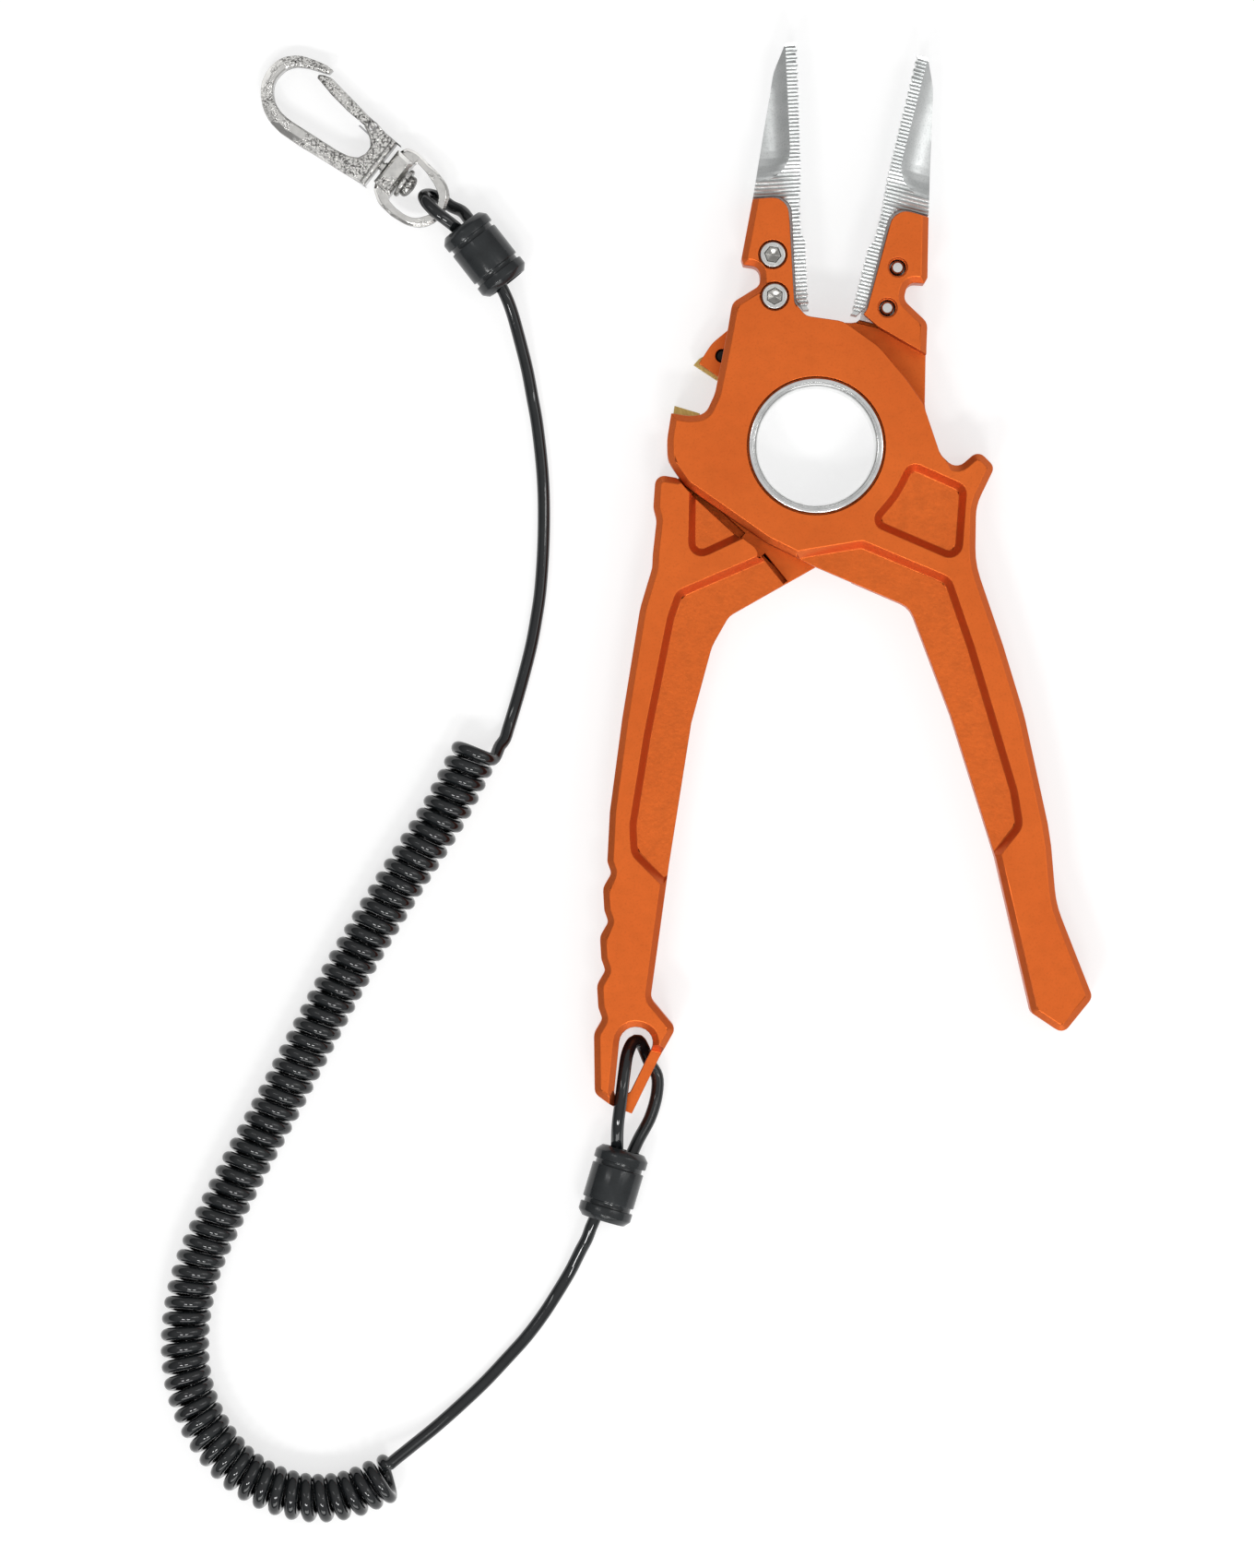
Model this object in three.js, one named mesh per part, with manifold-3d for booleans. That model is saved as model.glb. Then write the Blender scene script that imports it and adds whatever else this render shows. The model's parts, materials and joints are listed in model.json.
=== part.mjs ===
// Lapped-hub fishing pliers on a coiled lanyard with a swivel clip.
// Millimetres, +Z up.  The pliers lie flat, jaws along +Y, standing open on their stop.
import * as THREE from 'three';
import { mergeVertices } from 'three/addons/utils/BufferGeometryUtils.js';
import Module from 'manifold-3d';

const wasm = await Module();
wasm.setup();

// ---------------------------------------------------------------- driving dimensions
const THICKNESS = 12; // both halves, over their full-thickness parts
const MID = THICKNESS / 2; // level where the two hubs lap
const LAP_GAP = 0.3; // play between the lapped hubs
const FIT = 0.3; // clearance between pieces that touch
const RUN = 0.1; // radial play of the pivot
const CHAMFER = 1.1; // edges of both halves
const OPEN_ANGLE = 16.8; // degrees between the jaw faces on the open stop
const ORIGIN = [-14.037, 24.522]; // pivot axis, measured from the middle of the pliers' box

const POCKET_DEPTH = 1.8;
const POCKET_SLOPE = 1.3; // width of a pocket's sloped wall

const BORE_RADIUS = 10.2; // open middle of the pivot tube
const TUBE_RADIUS = 11.1;
const FLANGE_RADIUS = 11.7;
const FLANGE_HEIGHT = 1.4;
const FLANGE_SINK = 0.15; // flange below the faces of the halves

const SPRING_RADIUS = 14; // torsion spring wound round the pivot
const SPRING_WIRE = 1;
const SPRING_TURN = 300; // degrees from its lower leg to its upper leg
const SPRING_LEG = 1.4; // length of a leg beyond its groove
const SPRING_GROOVE = [12.6, 15.4];
const GROOVE_DEPTH = 1.3;
const WASHER = [16.1, 17.5];
const WASHER_HEIGHT = 0.8;
const WASHER_RECESS = 0.55;

const JAW_HEIGHT = 9; // over the gripping strip
const JAW_TIP_HEIGHT = 5;
const TANG_HEIGHT = 4;
const SLOT_HEIGHT = TANG_HEIGHT + 2 * FIT;
const TOOTH_PITCH = 1.3;
const TOOTH_DEPTH = 0.4;

const SCREW_PLACES = [[6.05, 33.35], [6.05, 26.15]]; // mirrored for the other half
const SCREW_RADIUS = 1.12;
const HEAD_RADIUS = 2.23;
const HEAD_HEIGHT = 2;
const COUNTERBORE_RADIUS = 2.52;
const COUNTERBORE_DEPTH = 2.45;
const HEX_ACROSS = 2.4;

const BLADE_LEVELS = [1.6, 4.4]; // both cutters, so that their edges meet
const CORD = 2.2;
const COIL_OUTER = 8.6;
const BARREL_RADIUS = 4.65;
const BARREL_LENGTH = 12.8;
const FERRULE_RADIUS = 3;
const FERRULE_LENGTH = 7.6;

// ---------------------------------------------------------------- helpers
const degrees = THREE.MathUtils.degToRad;
const mirrored = (list) => list.map(([x, y, r]) => [-x, y, r]).reverse();

// An outline of [x, y] corners; a third number rounds that corner to the radius it gives.
function rounded(corners) {
  const out = [];
  corners.forEach(([x, y, radius = 0], i) => {
    const here = new THREE.Vector2(x, y);
    const before = new THREE.Vector2(...corners.at(i - 1).slice(0, 2));
    const after = new THREE.Vector2(...corners[(i + 1) % corners.length].slice(0, 2));
    const a = before.sub(here);
    const b = after.sub(here);
    const half = Math.acos(THREE.MathUtils.clamp(a.dot(b) / (a.length() * b.length()), -1, 1)) / 2;
    if (!radius || half > 1.55) {
      out.push(here);
      return;
    }
    const reach = Math.min(radius / Math.tan(half), a.length() * 0.48, b.length() * 0.48);
    const r = reach * Math.tan(half);
    a.normalize();
    b.normalize();
    const centre = a.clone().add(b).normalize().multiplyScalar(r / Math.sin(half)).add(here);
    const start = here.clone().addScaledVector(a, reach).sub(centre);
    const sweep = (Math.PI - 2 * half) * -Math.sign(a.cross(b));
    const steps = Math.max(1, Math.ceil(Math.abs(sweep) / degrees(r > 4 ? 8 : 18)));
    for (let k = 0; k <= steps; k += 1) {
      const turn = (sweep * k) / steps;
      out.push(start.clone().rotateAround(new THREE.Vector2(), turn).add(centre));
    }
  });
  return out;
}

function plate(corners, low, high, chamfer = 0, slope = chamfer) {
  const bevel = chamfer > 0;
  const geometry = new THREE.ExtrudeGeometry(new THREE.Shape(rounded(corners)), {
    depth: high - low - 2 * chamfer,
    bevelEnabled: bevel,
    bevelThickness: chamfer,
    bevelSize: slope,
    bevelOffset: -slope,
    bevelSegments: 1,
  });
  return geometry.translate(0, 0, low + chamfer);
}

function cylinder(radius, low, high, [x, y] = [0, 0], sides = 24) {
  const geometry = new THREE.CylinderGeometry(radius, radius, high - low, sides);
  return geometry.rotateX(Math.PI / 2).translate(x, y, (low + high) / 2);
}

// A body of revolution about Z from [radius, z] pairs that close on themselves.
function lathe(profile, sides) {
  const points = [...profile, profile[0]].map(([r, z]) => new THREE.Vector2(r, z));
  return new THREE.LatheGeometry(points, sides).rotateX(Math.PI / 2);
}

const ring = (inner, outer, low, high, sides = 32) =>
  lathe([[inner, low], [outer, low], [outer, high], [inner, high]], sides);

function tube(points, radius, steps, sides = 8) {
  const section = [];
  for (let k = 0; k < sides; k += 1) {
    const turn = (2 * Math.PI * k) / sides;
    section.push(new THREE.Vector2(radius * Math.cos(turn), radius * Math.sin(turn)));
  }
  const curve = new THREE.CatmullRomCurve3(points.map((p) => new THREE.Vector3(...p)));
  return new THREE.ExtrudeGeometry(new THREE.Shape(section), { steps, extrudePath: curve });
}

// Positions only, with shared vertices merged and the empty triangles at poles left out.
function bare(geometry) {
  const copy = geometry.clone();
  copy.deleteAttribute('normal');
  copy.deleteAttribute('uv');
  const merged = mergeVertices(copy, 1e-4);
  const kept = [];
  for (let k = 0; k < merged.index.count; k += 3) {
    const corners = [0, 1, 2].map((j) => merged.index.getX(k + j));
    if (new Set(corners).size === 3) kept.push(...corners);
  }
  return merged.setIndex(kept);
}

function signedVolume(geometry) {
  const position = geometry.attributes.position;
  const corner = [0, 1, 2].map(() => new THREE.Vector3());
  let sum = 0;
  for (let k = 0; k < geometry.index.count; k += 3) {
    corner.forEach((c, j) => c.fromBufferAttribute(position, geometry.index.getX(k + j)));
    sum += corner[0].dot(corner[1].clone().cross(corner[2]));
  }
  return sum / 6;
}

// Shared vertices, faces out.
function closed(geometry) {
  const merged = bare(geometry);
  if (signedVolume(merged) < 0) {
    const { array } = merged.index;
    for (let k = 0; k < array.length; k += 3) {
      [array[k], array[k + 1]] = [array[k + 1], array[k]];
    }
  }
  return merged;
}

function solid(geometry) {
  const merged = closed(geometry);
  return new wasm.Manifold(new wasm.Mesh({
    numProp: 3,
    vertProperties: new Float32Array(merged.attributes.position.array),
    triVerts: new Uint32Array(merged.index.array),
  }));
}

function shaped(base, added, removed) {
  let body = solid(base);
  added.forEach((geometry) => {
    body = body.add(solid(geometry));
  });
  removed.forEach((geometry) => {
    body = body.subtract(solid(geometry));
  });
  const mesh = body.getMesh();
  const geometry = new THREE.BufferGeometry();
  geometry.setAttribute('position', new THREE.BufferAttribute(new Float32Array(mesh.vertProperties), 3));
  geometry.setIndex(new THREE.BufferAttribute(new Uint32Array(mesh.triVerts), 1));
  return geometry;
}

const flipZ = (geometry) => geometry.clone().applyMatrix4(new THREE.Matrix4().makeScale(1, 1, -1))
  .translate(0, 0, THICKNESS);
const flipX = (geometry) => geometry.clone().applyMatrix4(new THREE.Matrix4().makeScale(-1, 1, 1));

// ---------------------------------------------------------------- materials
function finish(color, roughness, metalness) {
  return new THREE.MeshStandardMaterial({ color, roughness, metalness });
}
const anodised = () => finish(0xdf6a2a, 0.45, 0.55);
const steel = () => finish(0xc8ccca, 0.35, 0.9);
const polished = () => finish(0xd8dada, 0.15, 1);
const carbide = () => finish(0xc8a04a, 0.3, 0.9);
const nickel = () => finish(0xd2d0cc, 0.18, 1);
const polymer = () => finish(0x24272a, 0.5, 0);
const glossy = () => finish(0x14181b, 0.15, 0);

// ---------------------------------------------------------------- outlines, each half in its closed frame
// The pivot is at 0, 0 and the closed jaw faces meet on x = 0.
const HOLDER_SIDE = [ // outer side of a jaw holder, front to hub, drawn for the right-hand half
  [8.42, 46],
  [11.5, 32.9],
  [11.2, 31.8],
  [8.4, 31.3, 1.7],
  [8.4, 28.2, 1.7],
  [13.4, 25.4, 2],
  [14.3, 21.2],
];

const UPPER_HUB_EDGE = [ // edge of the top lap, which stays sharp
  [-2.7, 25, 1.5],
  [-0.8, 22.5, 2],
  [5.6, 21.3, 4],
  [11.6, 16.6, 8],
  [15.9, 11, 8],
  [18.8, 6.4, 2],
  [21.4, -2.6, 3],
  [24.1, -5.1, 3],
  [28, -2, 1.6],
];

// With the edge above, the area of the top lap whose rim is not chamfered.
const HUB_LAP_START = [[-3, 20], [-2.32, 24.5]];
const HUB_LAP_END = [[22.2, -3.34], [23.57, -6.01], [20, -9], [8, -10]];

// The part of a jaw holder whose rim, next to the jaw, is not chamfered.
const HOLDER_RIM = [
  [3.05, 46],
  [2.72, 25.3],
  [2.6, 24.7],
  [1.9, 23.1],
  [7, 22.6],
  [7.1, 33],
  [10.1, 34.2],
  [7.25, 46],
];

// Trims the front of a jaw holder square, with its corner next to the jaw rounded.
const HOLDER_FRONT = [[2.3, 34], [2.3, 47], [13, 47], [13, 42.96], [3, 43.3, 2.9], [2.84, 34]];

const UPPER_HANDLE = [
  [30.7, -5, 1.4],
  [27.2, -11.5, 9],
  [26.6, -21.5, 16],
  [30.8, -35.9],
  [33.9, -48, 30],
  [37.5, -69, 30],
  [38, -81, 18],
  [43.6, -97.4, 1.6],
  [38.2, -103.5, 1.6],
  [32.9, -99.6, 1.6],
  [31, -89.6],
  [27.9, -72.6],
  [25.3, -62.9],
  [21.2, -47.5],
  [15, -28.6, 4],
  [-1.4, -20.7, 6],
  [-9.4, -16.3, 8],
  [-23, -5.9, 2],
  [-25.8, -1.5, 5],
  [-25.7, 2.4, 8],
  [-24.8, 6.75],
  [-21.7, 6.1, 6],
  [-18.9, 6.3, 2.5],
  [-17.1, 9.8, 4],
];

const UPPER_OUTLINE = [[-3.04, 46], ...UPPER_HUB_EDGE, ...UPPER_HANDLE, ...mirrored(HOLDER_SIDE)];

const NOTCH_STEP = [1.57, -8.27]; // finger notches along the lower handle
const NOTCHES = 4;
function fingerNotches() {
  const corners = [];
  for (let k = NOTCHES - 1; k >= 0; k -= 1) {
    const x = -16.2 + NOTCH_STEP[0] * k;
    const y = -80.4 + NOTCH_STEP[1] * k;
    corners.push([x - 0.7, y - 2.8, 2]);
    corners.push([x + 0.1, y, 1.2]);
    corners.push([x - 1.1, y + 1.8, 1.6]);
  }
  return corners;
}

const LOWER_HANDLE = [
  [16.6, 11.5, 3],
  [19.9, 4.5, 7],
  [19.4, -8, 9],
  [12.6, -14.9, 8],
  [5.3, -20.1],
  [-7.3, -32.2, 3],
  [-8.9, -38, 8],
  [-9.1, -51.8],
  [-6.8, -76.5, 10],
  [-4.2, -99.6, 2],
  [1.3, -103.6, 1.5],
  [-0.2, -109.3],
  [-2.4, -119.9],
  [-6, -119.4],
  [-9.5, -118, 1.6],
  ...fingerNotches(),
  [-19, -70.1],
  [-20.9, -53.9],
  [-22.6, -34.7, 10],
  [-22.3, -27.4, 5],
  [-22.8, -25, 5],
  [-23.6, -19.2, 3],
  [-24.7, -17.2, 3],
  [-25.7, -11.6, 1.6],
  [-21.9, -11.3],
  [-17.7, -8.7, 1],
  [-19.8, -2.5, 8],
  [-19.3, 4.5, 8],
  [-18.5, 7.25, 0.8],
  [-23.2, 9],
  [-21.9, 12.9, 6],
  [-19.7, 15.9],
  [-16.9, 16.2],
  [-11.5, 18.6, 6],
  [-4.5, 21.3, 4],
  [1.6, 22.5, 2],
  [2.7, 25, 1.5],
];
const LOWER_OUTLINE = [[3.04, 46], ...HOLDER_SIDE, ...LOWER_HANDLE];

// Where each half is cut away to the lap level, so that the other half's hub can swing.
const UPPER_RELIEF = [
  [-30, -1.7],
  [-20.1, -1.7],
  [-20.1, 2.5],
  [-18.6, 7.4],
  [-19, 23.6],
  [-14.8, 23.6, 1],
  [-11.5, 22.2, 3],
  [-4, 23.9],
  [8, 26],
  [24, 14],
  [20.8, 0.4],
  [20.8, -8, 5],
  [19.6, -13, 3],
  [9.5, -19.4, 3],
  [3, -26],
  [-20, -30],
];
const LOWER_RELIEF = [
  [-1, 26],
  [2.8, 23.8],
  [5.3, 22.6],
  [13.8, 20.2],
  [20, 18.4],
  [27, 0],
  [8, -30],
  [1.2, -24.2],
  [-3.9, -20.9, 0.5],
  [-5.3, -21.5, 0.6],
  [-5.2, -20, 1.5],
  [-8.6, -18.6],
  [-19.6, -13],
  [-22.2, -11.2],
  [-30, -8],
  [-30, 24],
];

// Pockets, as cutters; a side beyond the outline leaves that side of the pocket open.
const UPPER_POCKET = [
  [16, -3.2, 2.2],
  [25.8, -8.1, 2.2],
  [24.2, -21.6, 2.4],
  [8.1, -13.8, 2],
  [12.8, -8.9, 14],
];
const UPPER_RECESS = [
  [-4.5, -18.1],
  [7.3, -16.7, 2],
  [22.3, -23.8, 3],
  [25.8, -35.7],
  [32.2, -61.2, 8],
  [32.9, -67.4, 3],
  [28, -73],
  [22, -74],
  [14, -40],
  [4, -29],
  [-7, -23],
];
const LOWER_POCKET = [
  [-20.3, -9],
  [-16.5, -25.4, 2.4],
  [-7, -17.6],
  [-12, -9],
];
const LOWER_RECESS = [
  [-4, -20.1],
  [-17.3, -30.3, 2.5],
  [-17.7, -35, 6],
  [-16.6, -55.9],
  [-15.2, -71.5, 8],
  [-13.7, -76.4, 3],
  [-6.8, -80.5],
  [-3, -76],
  [-4, -36],
  [4, -22],
];

const LANYARD_EYE = [ // teardrop in the end of the lower handle
  [-8.1, -105, 3.1],
  [-1.2, -105, 3.1],
  [-3.6, -116.4, 0.8],
  [-6.1, -118.2, 0.8],
];
const STRUT_TOP = 7.8; // bar beside the eye, thinner than the handle
const STRUT_ZONE = [
  [2.5, -108.4],
  [-2.4, -108.4],
  [-3.8, -115.5],
  [-5.6, -117.3],
  [-5.6, -121.5],
  [2, -121.5],
];
const STRUT_SHOULDER = 1.3; // run of the slope between the bar and the full thickness
const SLOT_FLOOR = 3; // of the two slots beside the lap, in the lower half
const LAP_SLOTS = [
  [[-18.1, -12.25], [-8.2, -17.55], [-8.9, -18.8, 0.4], [-18.8, -13.5]],
  [[-4, -20.1], [0.9, -23.8], [0.4, -24.5], [-4.5, -20.8, 0.3]],
];

// ---------------------------------------------------------------- the two halves
function pocketCutter(corners) {
  return plate(corners, THICKNESS - POCKET_DEPTH, THICKNESS + 4, POCKET_DEPTH, POCKET_SLOPE);
}

// A cutter whose wall leans out from its floor to the top face.
function flared(corners, floor, spread) {
  const geometry = new THREE.ExtrudeGeometry(new THREE.Shape(rounded(corners)), {
    depth: 2,
    bevelEnabled: true,
    bevelThickness: THICKNESS - floor,
    bevelSize: spread,
    bevelOffset: 0,
    bevelSegments: 1,
  });
  return geometry.translate(0, 0, THICKNESS);
}

function slotCutter(side) {
  const corners = [[-8.3, 22.6], [4, 22.6], [4, 46], [-8.3, 46]];
  const low = MID - SLOT_HEIGHT / 2;
  return plate(side < 0 ? corners : mirrored(corners), low, low + SLOT_HEIGHT);
}

// Cuts that the two hubs share: bore, flange seat, spring groove and washer recess.
function hubCuts() {
  const groove = MID + LAP_GAP / 2 + GROOVE_DEPTH;
  const recess = MID + LAP_GAP / 2 + WASHER_RECESS;
  const seat = THICKNESS - FLANGE_HEIGHT - FLANGE_SINK - FIT;
  return [
    cylinder(TUBE_RADIUS + RUN, -1, THICKNESS + 1, [0, 0], 60),
    cylinder(FLANGE_RADIUS + FIT, seat, THICKNESS + 1, [0, 0], 60),
    ring(...SPRING_GROOVE, MID - 1, groove),
    ring(WASHER[0] - FIT, WASHER[1] + FIT, MID - 1, recess),
  ];
}

function springLegHole(angle) {
  const place = [SPRING_RADIUS * Math.cos(degrees(angle)), SPRING_RADIUS * Math.sin(degrees(angle))];
  return cylinder(SPRING_WIRE / 2 + 2 * FIT, MID, MID + GROOVE_DEPTH + SPRING_LEG + 1, place, 12);
}

function screwCuts(side) {
  return SCREW_PLACES.flatMap(([x, y]) => [
    cylinder(SCREW_RADIUS + FIT, -1, THICKNESS + 1, [side * x, y], 16),
    cylinder(COUNTERBORE_RADIUS, THICKNESS - COUNTERBORE_DEPTH, THICKNESS + 1, [side * x, y], 24),
    cylinder(SCREW_RADIUS + 2 * FIT, -1, 1.6, [side * x, y], 16),
  ]);
}

// A cutter's outline: its edge lies along a radius of the pivot, and it reaches back from there.
const BLADE_EDGE_ANGLE = 19.2; // degrees above the -X axis, with the jaws closed
const BLADE_EDGE_GAP = 0.18; // each closed edge stays this far short of that line
const BLADE_BACK = 5.9;
const BLADE_SCREW = { along: 22.2, back: 4.2 };
function fromEdge(along, back, side) {
  const turn = degrees(BLADE_EDGE_ANGLE);
  const lift = back * side;
  return [-Math.cos(turn) * along + Math.sin(turn) * lift, Math.sin(turn) * along + Math.cos(turn) * lift];
}
function bladeOutline(grow, side) {
  const near = (side > 0 ? 20.6 : 20.9) - grow;
  const front = BLADE_EDGE_GAP - grow;
  const back = BLADE_BACK + grow;
  return [[near, front], [25.5 + grow, front], [25.3 + grow, 1.6], [23.1 + grow, back], [near, back]]
    .map(([reach, depth]) => fromEdge(reach, depth, side));
}
const BLADE_SCREWS = {
  upper: fromEdge(BLADE_SCREW.along, BLADE_SCREW.back, -1),
  lower: fromEdge(BLADE_SCREW.along, BLADE_SCREW.back, 1),
};

function bladeSeat(name, side) {
  return [
    plate(bladeOutline(FIT, side), -1, BLADE_LEVELS[1] + FIT),
    cylinder(0.9 + FIT, 0, MID + 2, BLADE_SCREWS[name], 16),
  ];
}

function upperHalf() {
  const sharp = [...HUB_LAP_START, ...UPPER_HUB_EDGE.slice(1, -2), ...HUB_LAP_END];
  return shaped(
    plate(UPPER_OUTLINE, 0, THICKNESS, CHAMFER),
    [plate(sharp, MID, THICKNESS), plate(mirrored(HOLDER_RIM), 0, THICKNESS)],
    [
      plate(mirrored(HOLDER_FRONT), -1, THICKNESS + 1),
      plate(UPPER_RELIEF, -1, MID + LAP_GAP / 2),
      pocketCutter(UPPER_POCKET),
      pocketCutter(UPPER_RECESS),
      flipZ(pocketCutter(UPPER_RECESS)),
      slotCutter(-1),
      ...hubCuts(),
      springLegHole(SPRING_TURN - OPEN_ANGLE / 2),
      ...screwCuts(-1),
      ...bladeSeat('upper', -1),
    ],
  );
}

function lowerHalf() {
  return shaped(
    plate(LOWER_OUTLINE, 0, THICKNESS, CHAMFER),
    [plate(HOLDER_RIM, 0, THICKNESS)],
    [
      plate(HOLDER_FRONT, -1, THICKNESS + 1),
      plate(LOWER_RELIEF, MID - LAP_GAP / 2, THICKNESS + 1),
      pocketCutter(LOWER_POCKET),
      pocketCutter(LOWER_RECESS),
      flipZ(pocketCutter(LOWER_RECESS)),
      slotCutter(1),
      ...hubCuts().map(flipZ),
      flipZ(springLegHole(OPEN_ANGLE / 2)),
      ...screwCuts(1).map(flipZ),
      ...bladeSeat('lower', 1),
      ...LAP_SLOTS.map((corners) => plate(corners, SLOT_FLOOR, THICKNESS)),
      plate(LANYARD_EYE, -1, THICKNESS + 1),
      ...[flared(LANYARD_EYE, THICKNESS - CHAMFER, CHAMFER), flared(STRUT_ZONE, STRUT_TOP, STRUT_SHOULDER)]
        .flatMap((cutter) => [cutter, flipZ(cutter)]),
    ],
  );
}

// ---------------------------------------------------------------- jaws
// Gripping face of the right-hand jaw, tip to root, as [x, y]; teeth are added along it.
const FACE_LINE = [[0.2, 70], [0.3, 57], [0.45, 48], [0.95, 41.5], [0.85, 36.6], [0.2, 35.2], [0.2, 23.6]];

function toothedFace() {
  const corners = [];
  for (let k = 0; k < FACE_LINE.length - 1; k += 1) {
    const from = new THREE.Vector2(...FACE_LINE[k]);
    const to = new THREE.Vector2(...FACE_LINE[k + 1]);
    const count = Math.max(1, Math.round(from.distanceTo(to) / TOOTH_PITCH));
    for (let t = 0; t < count; t += 1) {
      const crest = from.clone().lerp(to, t / count);
      const root = from.clone().lerp(to, (t + 0.5) / count);
      corners.push([crest.x, crest.y]);
      corners.push([root.x + (count > 1 ? TOOTH_DEPTH : 0), root.y]);
    }
  }
  corners.push(FACE_LINE.at(-1));
  return corners;
}

const TAPER = { from: 44, to: 72 }; // stretch over which a jaw thins to its tip
const TAPER_SLOPE = ((JAW_HEIGHT - JAW_TIP_HEIGHT) / 2 + 0.15) / (TAPER.to - TAPER.from);

// Hollow along a jaw's face, sunk by the same depth all the way to the tip.
function scoop() {
  const halfWidth = 5.4; // where it meets the jaw's top
  const depth = 2.3;
  const start = 52;
  const radius = (halfWidth ** 2 / depth + depth) / 2;
  const top = MID + JAW_HEIGHT / 2 - (start - TAPER.from) * TAPER_SLOPE;
  const bar = new THREE.CapsuleGeometry(radius, 60, 9, 36).translate(0, 30, 0);
  return bar.rotateX(-Math.atan(TAPER_SLOPE)).translate(7.6, start, top + radius - depth);
}

// Wedge over the jaw that brings it down from its root to its tip.
function taperCutter() {
  const side = new THREE.Shape([
    new THREE.Vector2(TAPER.from, MID + JAW_HEIGHT / 2),
    new THREE.Vector2(TAPER.to, MID + JAW_TIP_HEIGHT / 2 - 0.15),
    new THREE.Vector2(TAPER.to, 20),
    new THREE.Vector2(TAPER.from, 20),
  ]);
  const wedge = new THREE.ExtrudeGeometry(side, { depth: 24, bevelEnabled: false });
  return wedge.rotateX(Math.PI / 2).rotateZ(Math.PI / 2).translate(-4, 0, 0);
}

function jaw() {
  const blade = [
    ...toothedFace(),
    [1.2, 23.6],
    [2.35, 25.4],
    [2.4, 43.6, 3.3],
    [9, 43.5],
    [4.5, 65, 6],
    [2.2, 70, 0.6],
  ];
  const tang = [[2, 23.1], [7.7, 23.1, 1], [8, 43], [5, 44.5], [2, 42]];
  return shaped(
    plate(blade, MID - JAW_HEIGHT / 2, MID + JAW_HEIGHT / 2),
    [plate(tang, MID - TANG_HEIGHT / 2, MID + TANG_HEIGHT / 2)],
    [
      taperCutter(),
      flipZ(taperCutter()),
      scoop(),
      flipZ(scoop()),
      ...SCREW_PLACES.map((place) => cylinder(SCREW_RADIUS + FIT, 0, THICKNESS, place, 20)),
    ],
  );
}

// ---------------------------------------------------------------- fasteners and pivot
function socketScrew(place) {
  const top = THICKNESS - 0.15;
  const seat = top - HEAD_HEIGHT;
  const profile = [
    [0, 0.9],
    [SCREW_RADIUS - 0.25, 0.9],
    [SCREW_RADIUS, 1.2],
    [SCREW_RADIUS, seat],
    [HEAD_RADIUS, seat],
    [HEAD_RADIUS, top - 0.25],
    [HEAD_RADIUS - 0.25, top],
    [0, top],
  ];
  const points = profile.map(([r, z]) => new THREE.Vector2(r, z));
  const blank = new THREE.LatheGeometry(points, 16).rotateX(Math.PI / 2);
  const hex = cylinder(HEX_ACROSS / Math.sqrt(3), top - 1.2, top + 1, [0, 0], 6);
  return shaped(blank, [], [hex]).translate(place[0], place[1], 0);
}

// Screw that holds a cutter from below.
function cutterScrew(place) {
  const points = [[0, 0.4], [1.3, 0.4], [1.5, 0.6], [1.5, 1.3], [0.9, 1.3], [0.9, 5], [0, 5]];
  const profile = points.map(([r, z]) => new THREE.Vector2(r, z));
  const blank = new THREE.LatheGeometry(profile, 14).rotateX(Math.PI / 2);
  const socket = cylinder(0.75, 0, 1.1, [0, 0], 6);
  return shaped(blank, [], [socket]).translate(place[0], place[1], 0);
}

function blade(name, side) {
  const hole = cylinder(0.9 + FIT, 0, MID, BLADE_SCREWS[name], 16);
  return shaped(plate(bladeOutline(0, side), ...BLADE_LEVELS), [], [hole]);
}

function pivotTube() {
  const top = THICKNESS - FLANGE_SINK;
  return lathe([
    [BORE_RADIUS, 0.35],
    [TUBE_RADIUS - 0.35, 0.35],
    [TUBE_RADIUS - 0.35, 1.9],
    [TUBE_RADIUS, 1.9],
    [TUBE_RADIUS, top - FLANGE_HEIGHT],
    [FLANGE_RADIUS, top - FLANGE_HEIGHT],
    [FLANGE_RADIUS, top - 0.3],
    [FLANGE_RADIUS - 0.3, top],
    [FLANGE_RADIUS - 0.75, top],
    [BORE_RADIUS, top - 0.9],
  ], 60);
}

const pivotRing = () => ring(TUBE_RADIUS - 0.25, FLANGE_RADIUS, FLANGE_SINK, FLANGE_HEIGHT + FLANGE_SINK, 60);

function torsionSpring() {
  const at = (angle, z) => {
    const turn = degrees(angle);
    return [SPRING_RADIUS * Math.cos(turn), SPRING_RADIUS * Math.sin(turn), z];
  };
  const rise = 0.7;
  const leg = GROOVE_DEPTH + SPRING_LEG;
  const points = [at(0, MID - leg), at(1, MID - rise - 0.7)];
  const step = 15;
  for (let turn = step / 2; turn < SPRING_TURN; turn += step) {
    points.push(at(turn, MID - rise + (2 * rise * turn) / SPRING_TURN));
  }
  points.push(at(SPRING_TURN - 1, MID + rise + 0.7), at(SPRING_TURN, MID + leg));
  return tube(points, SPRING_WIRE / 2, 44);
}

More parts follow.
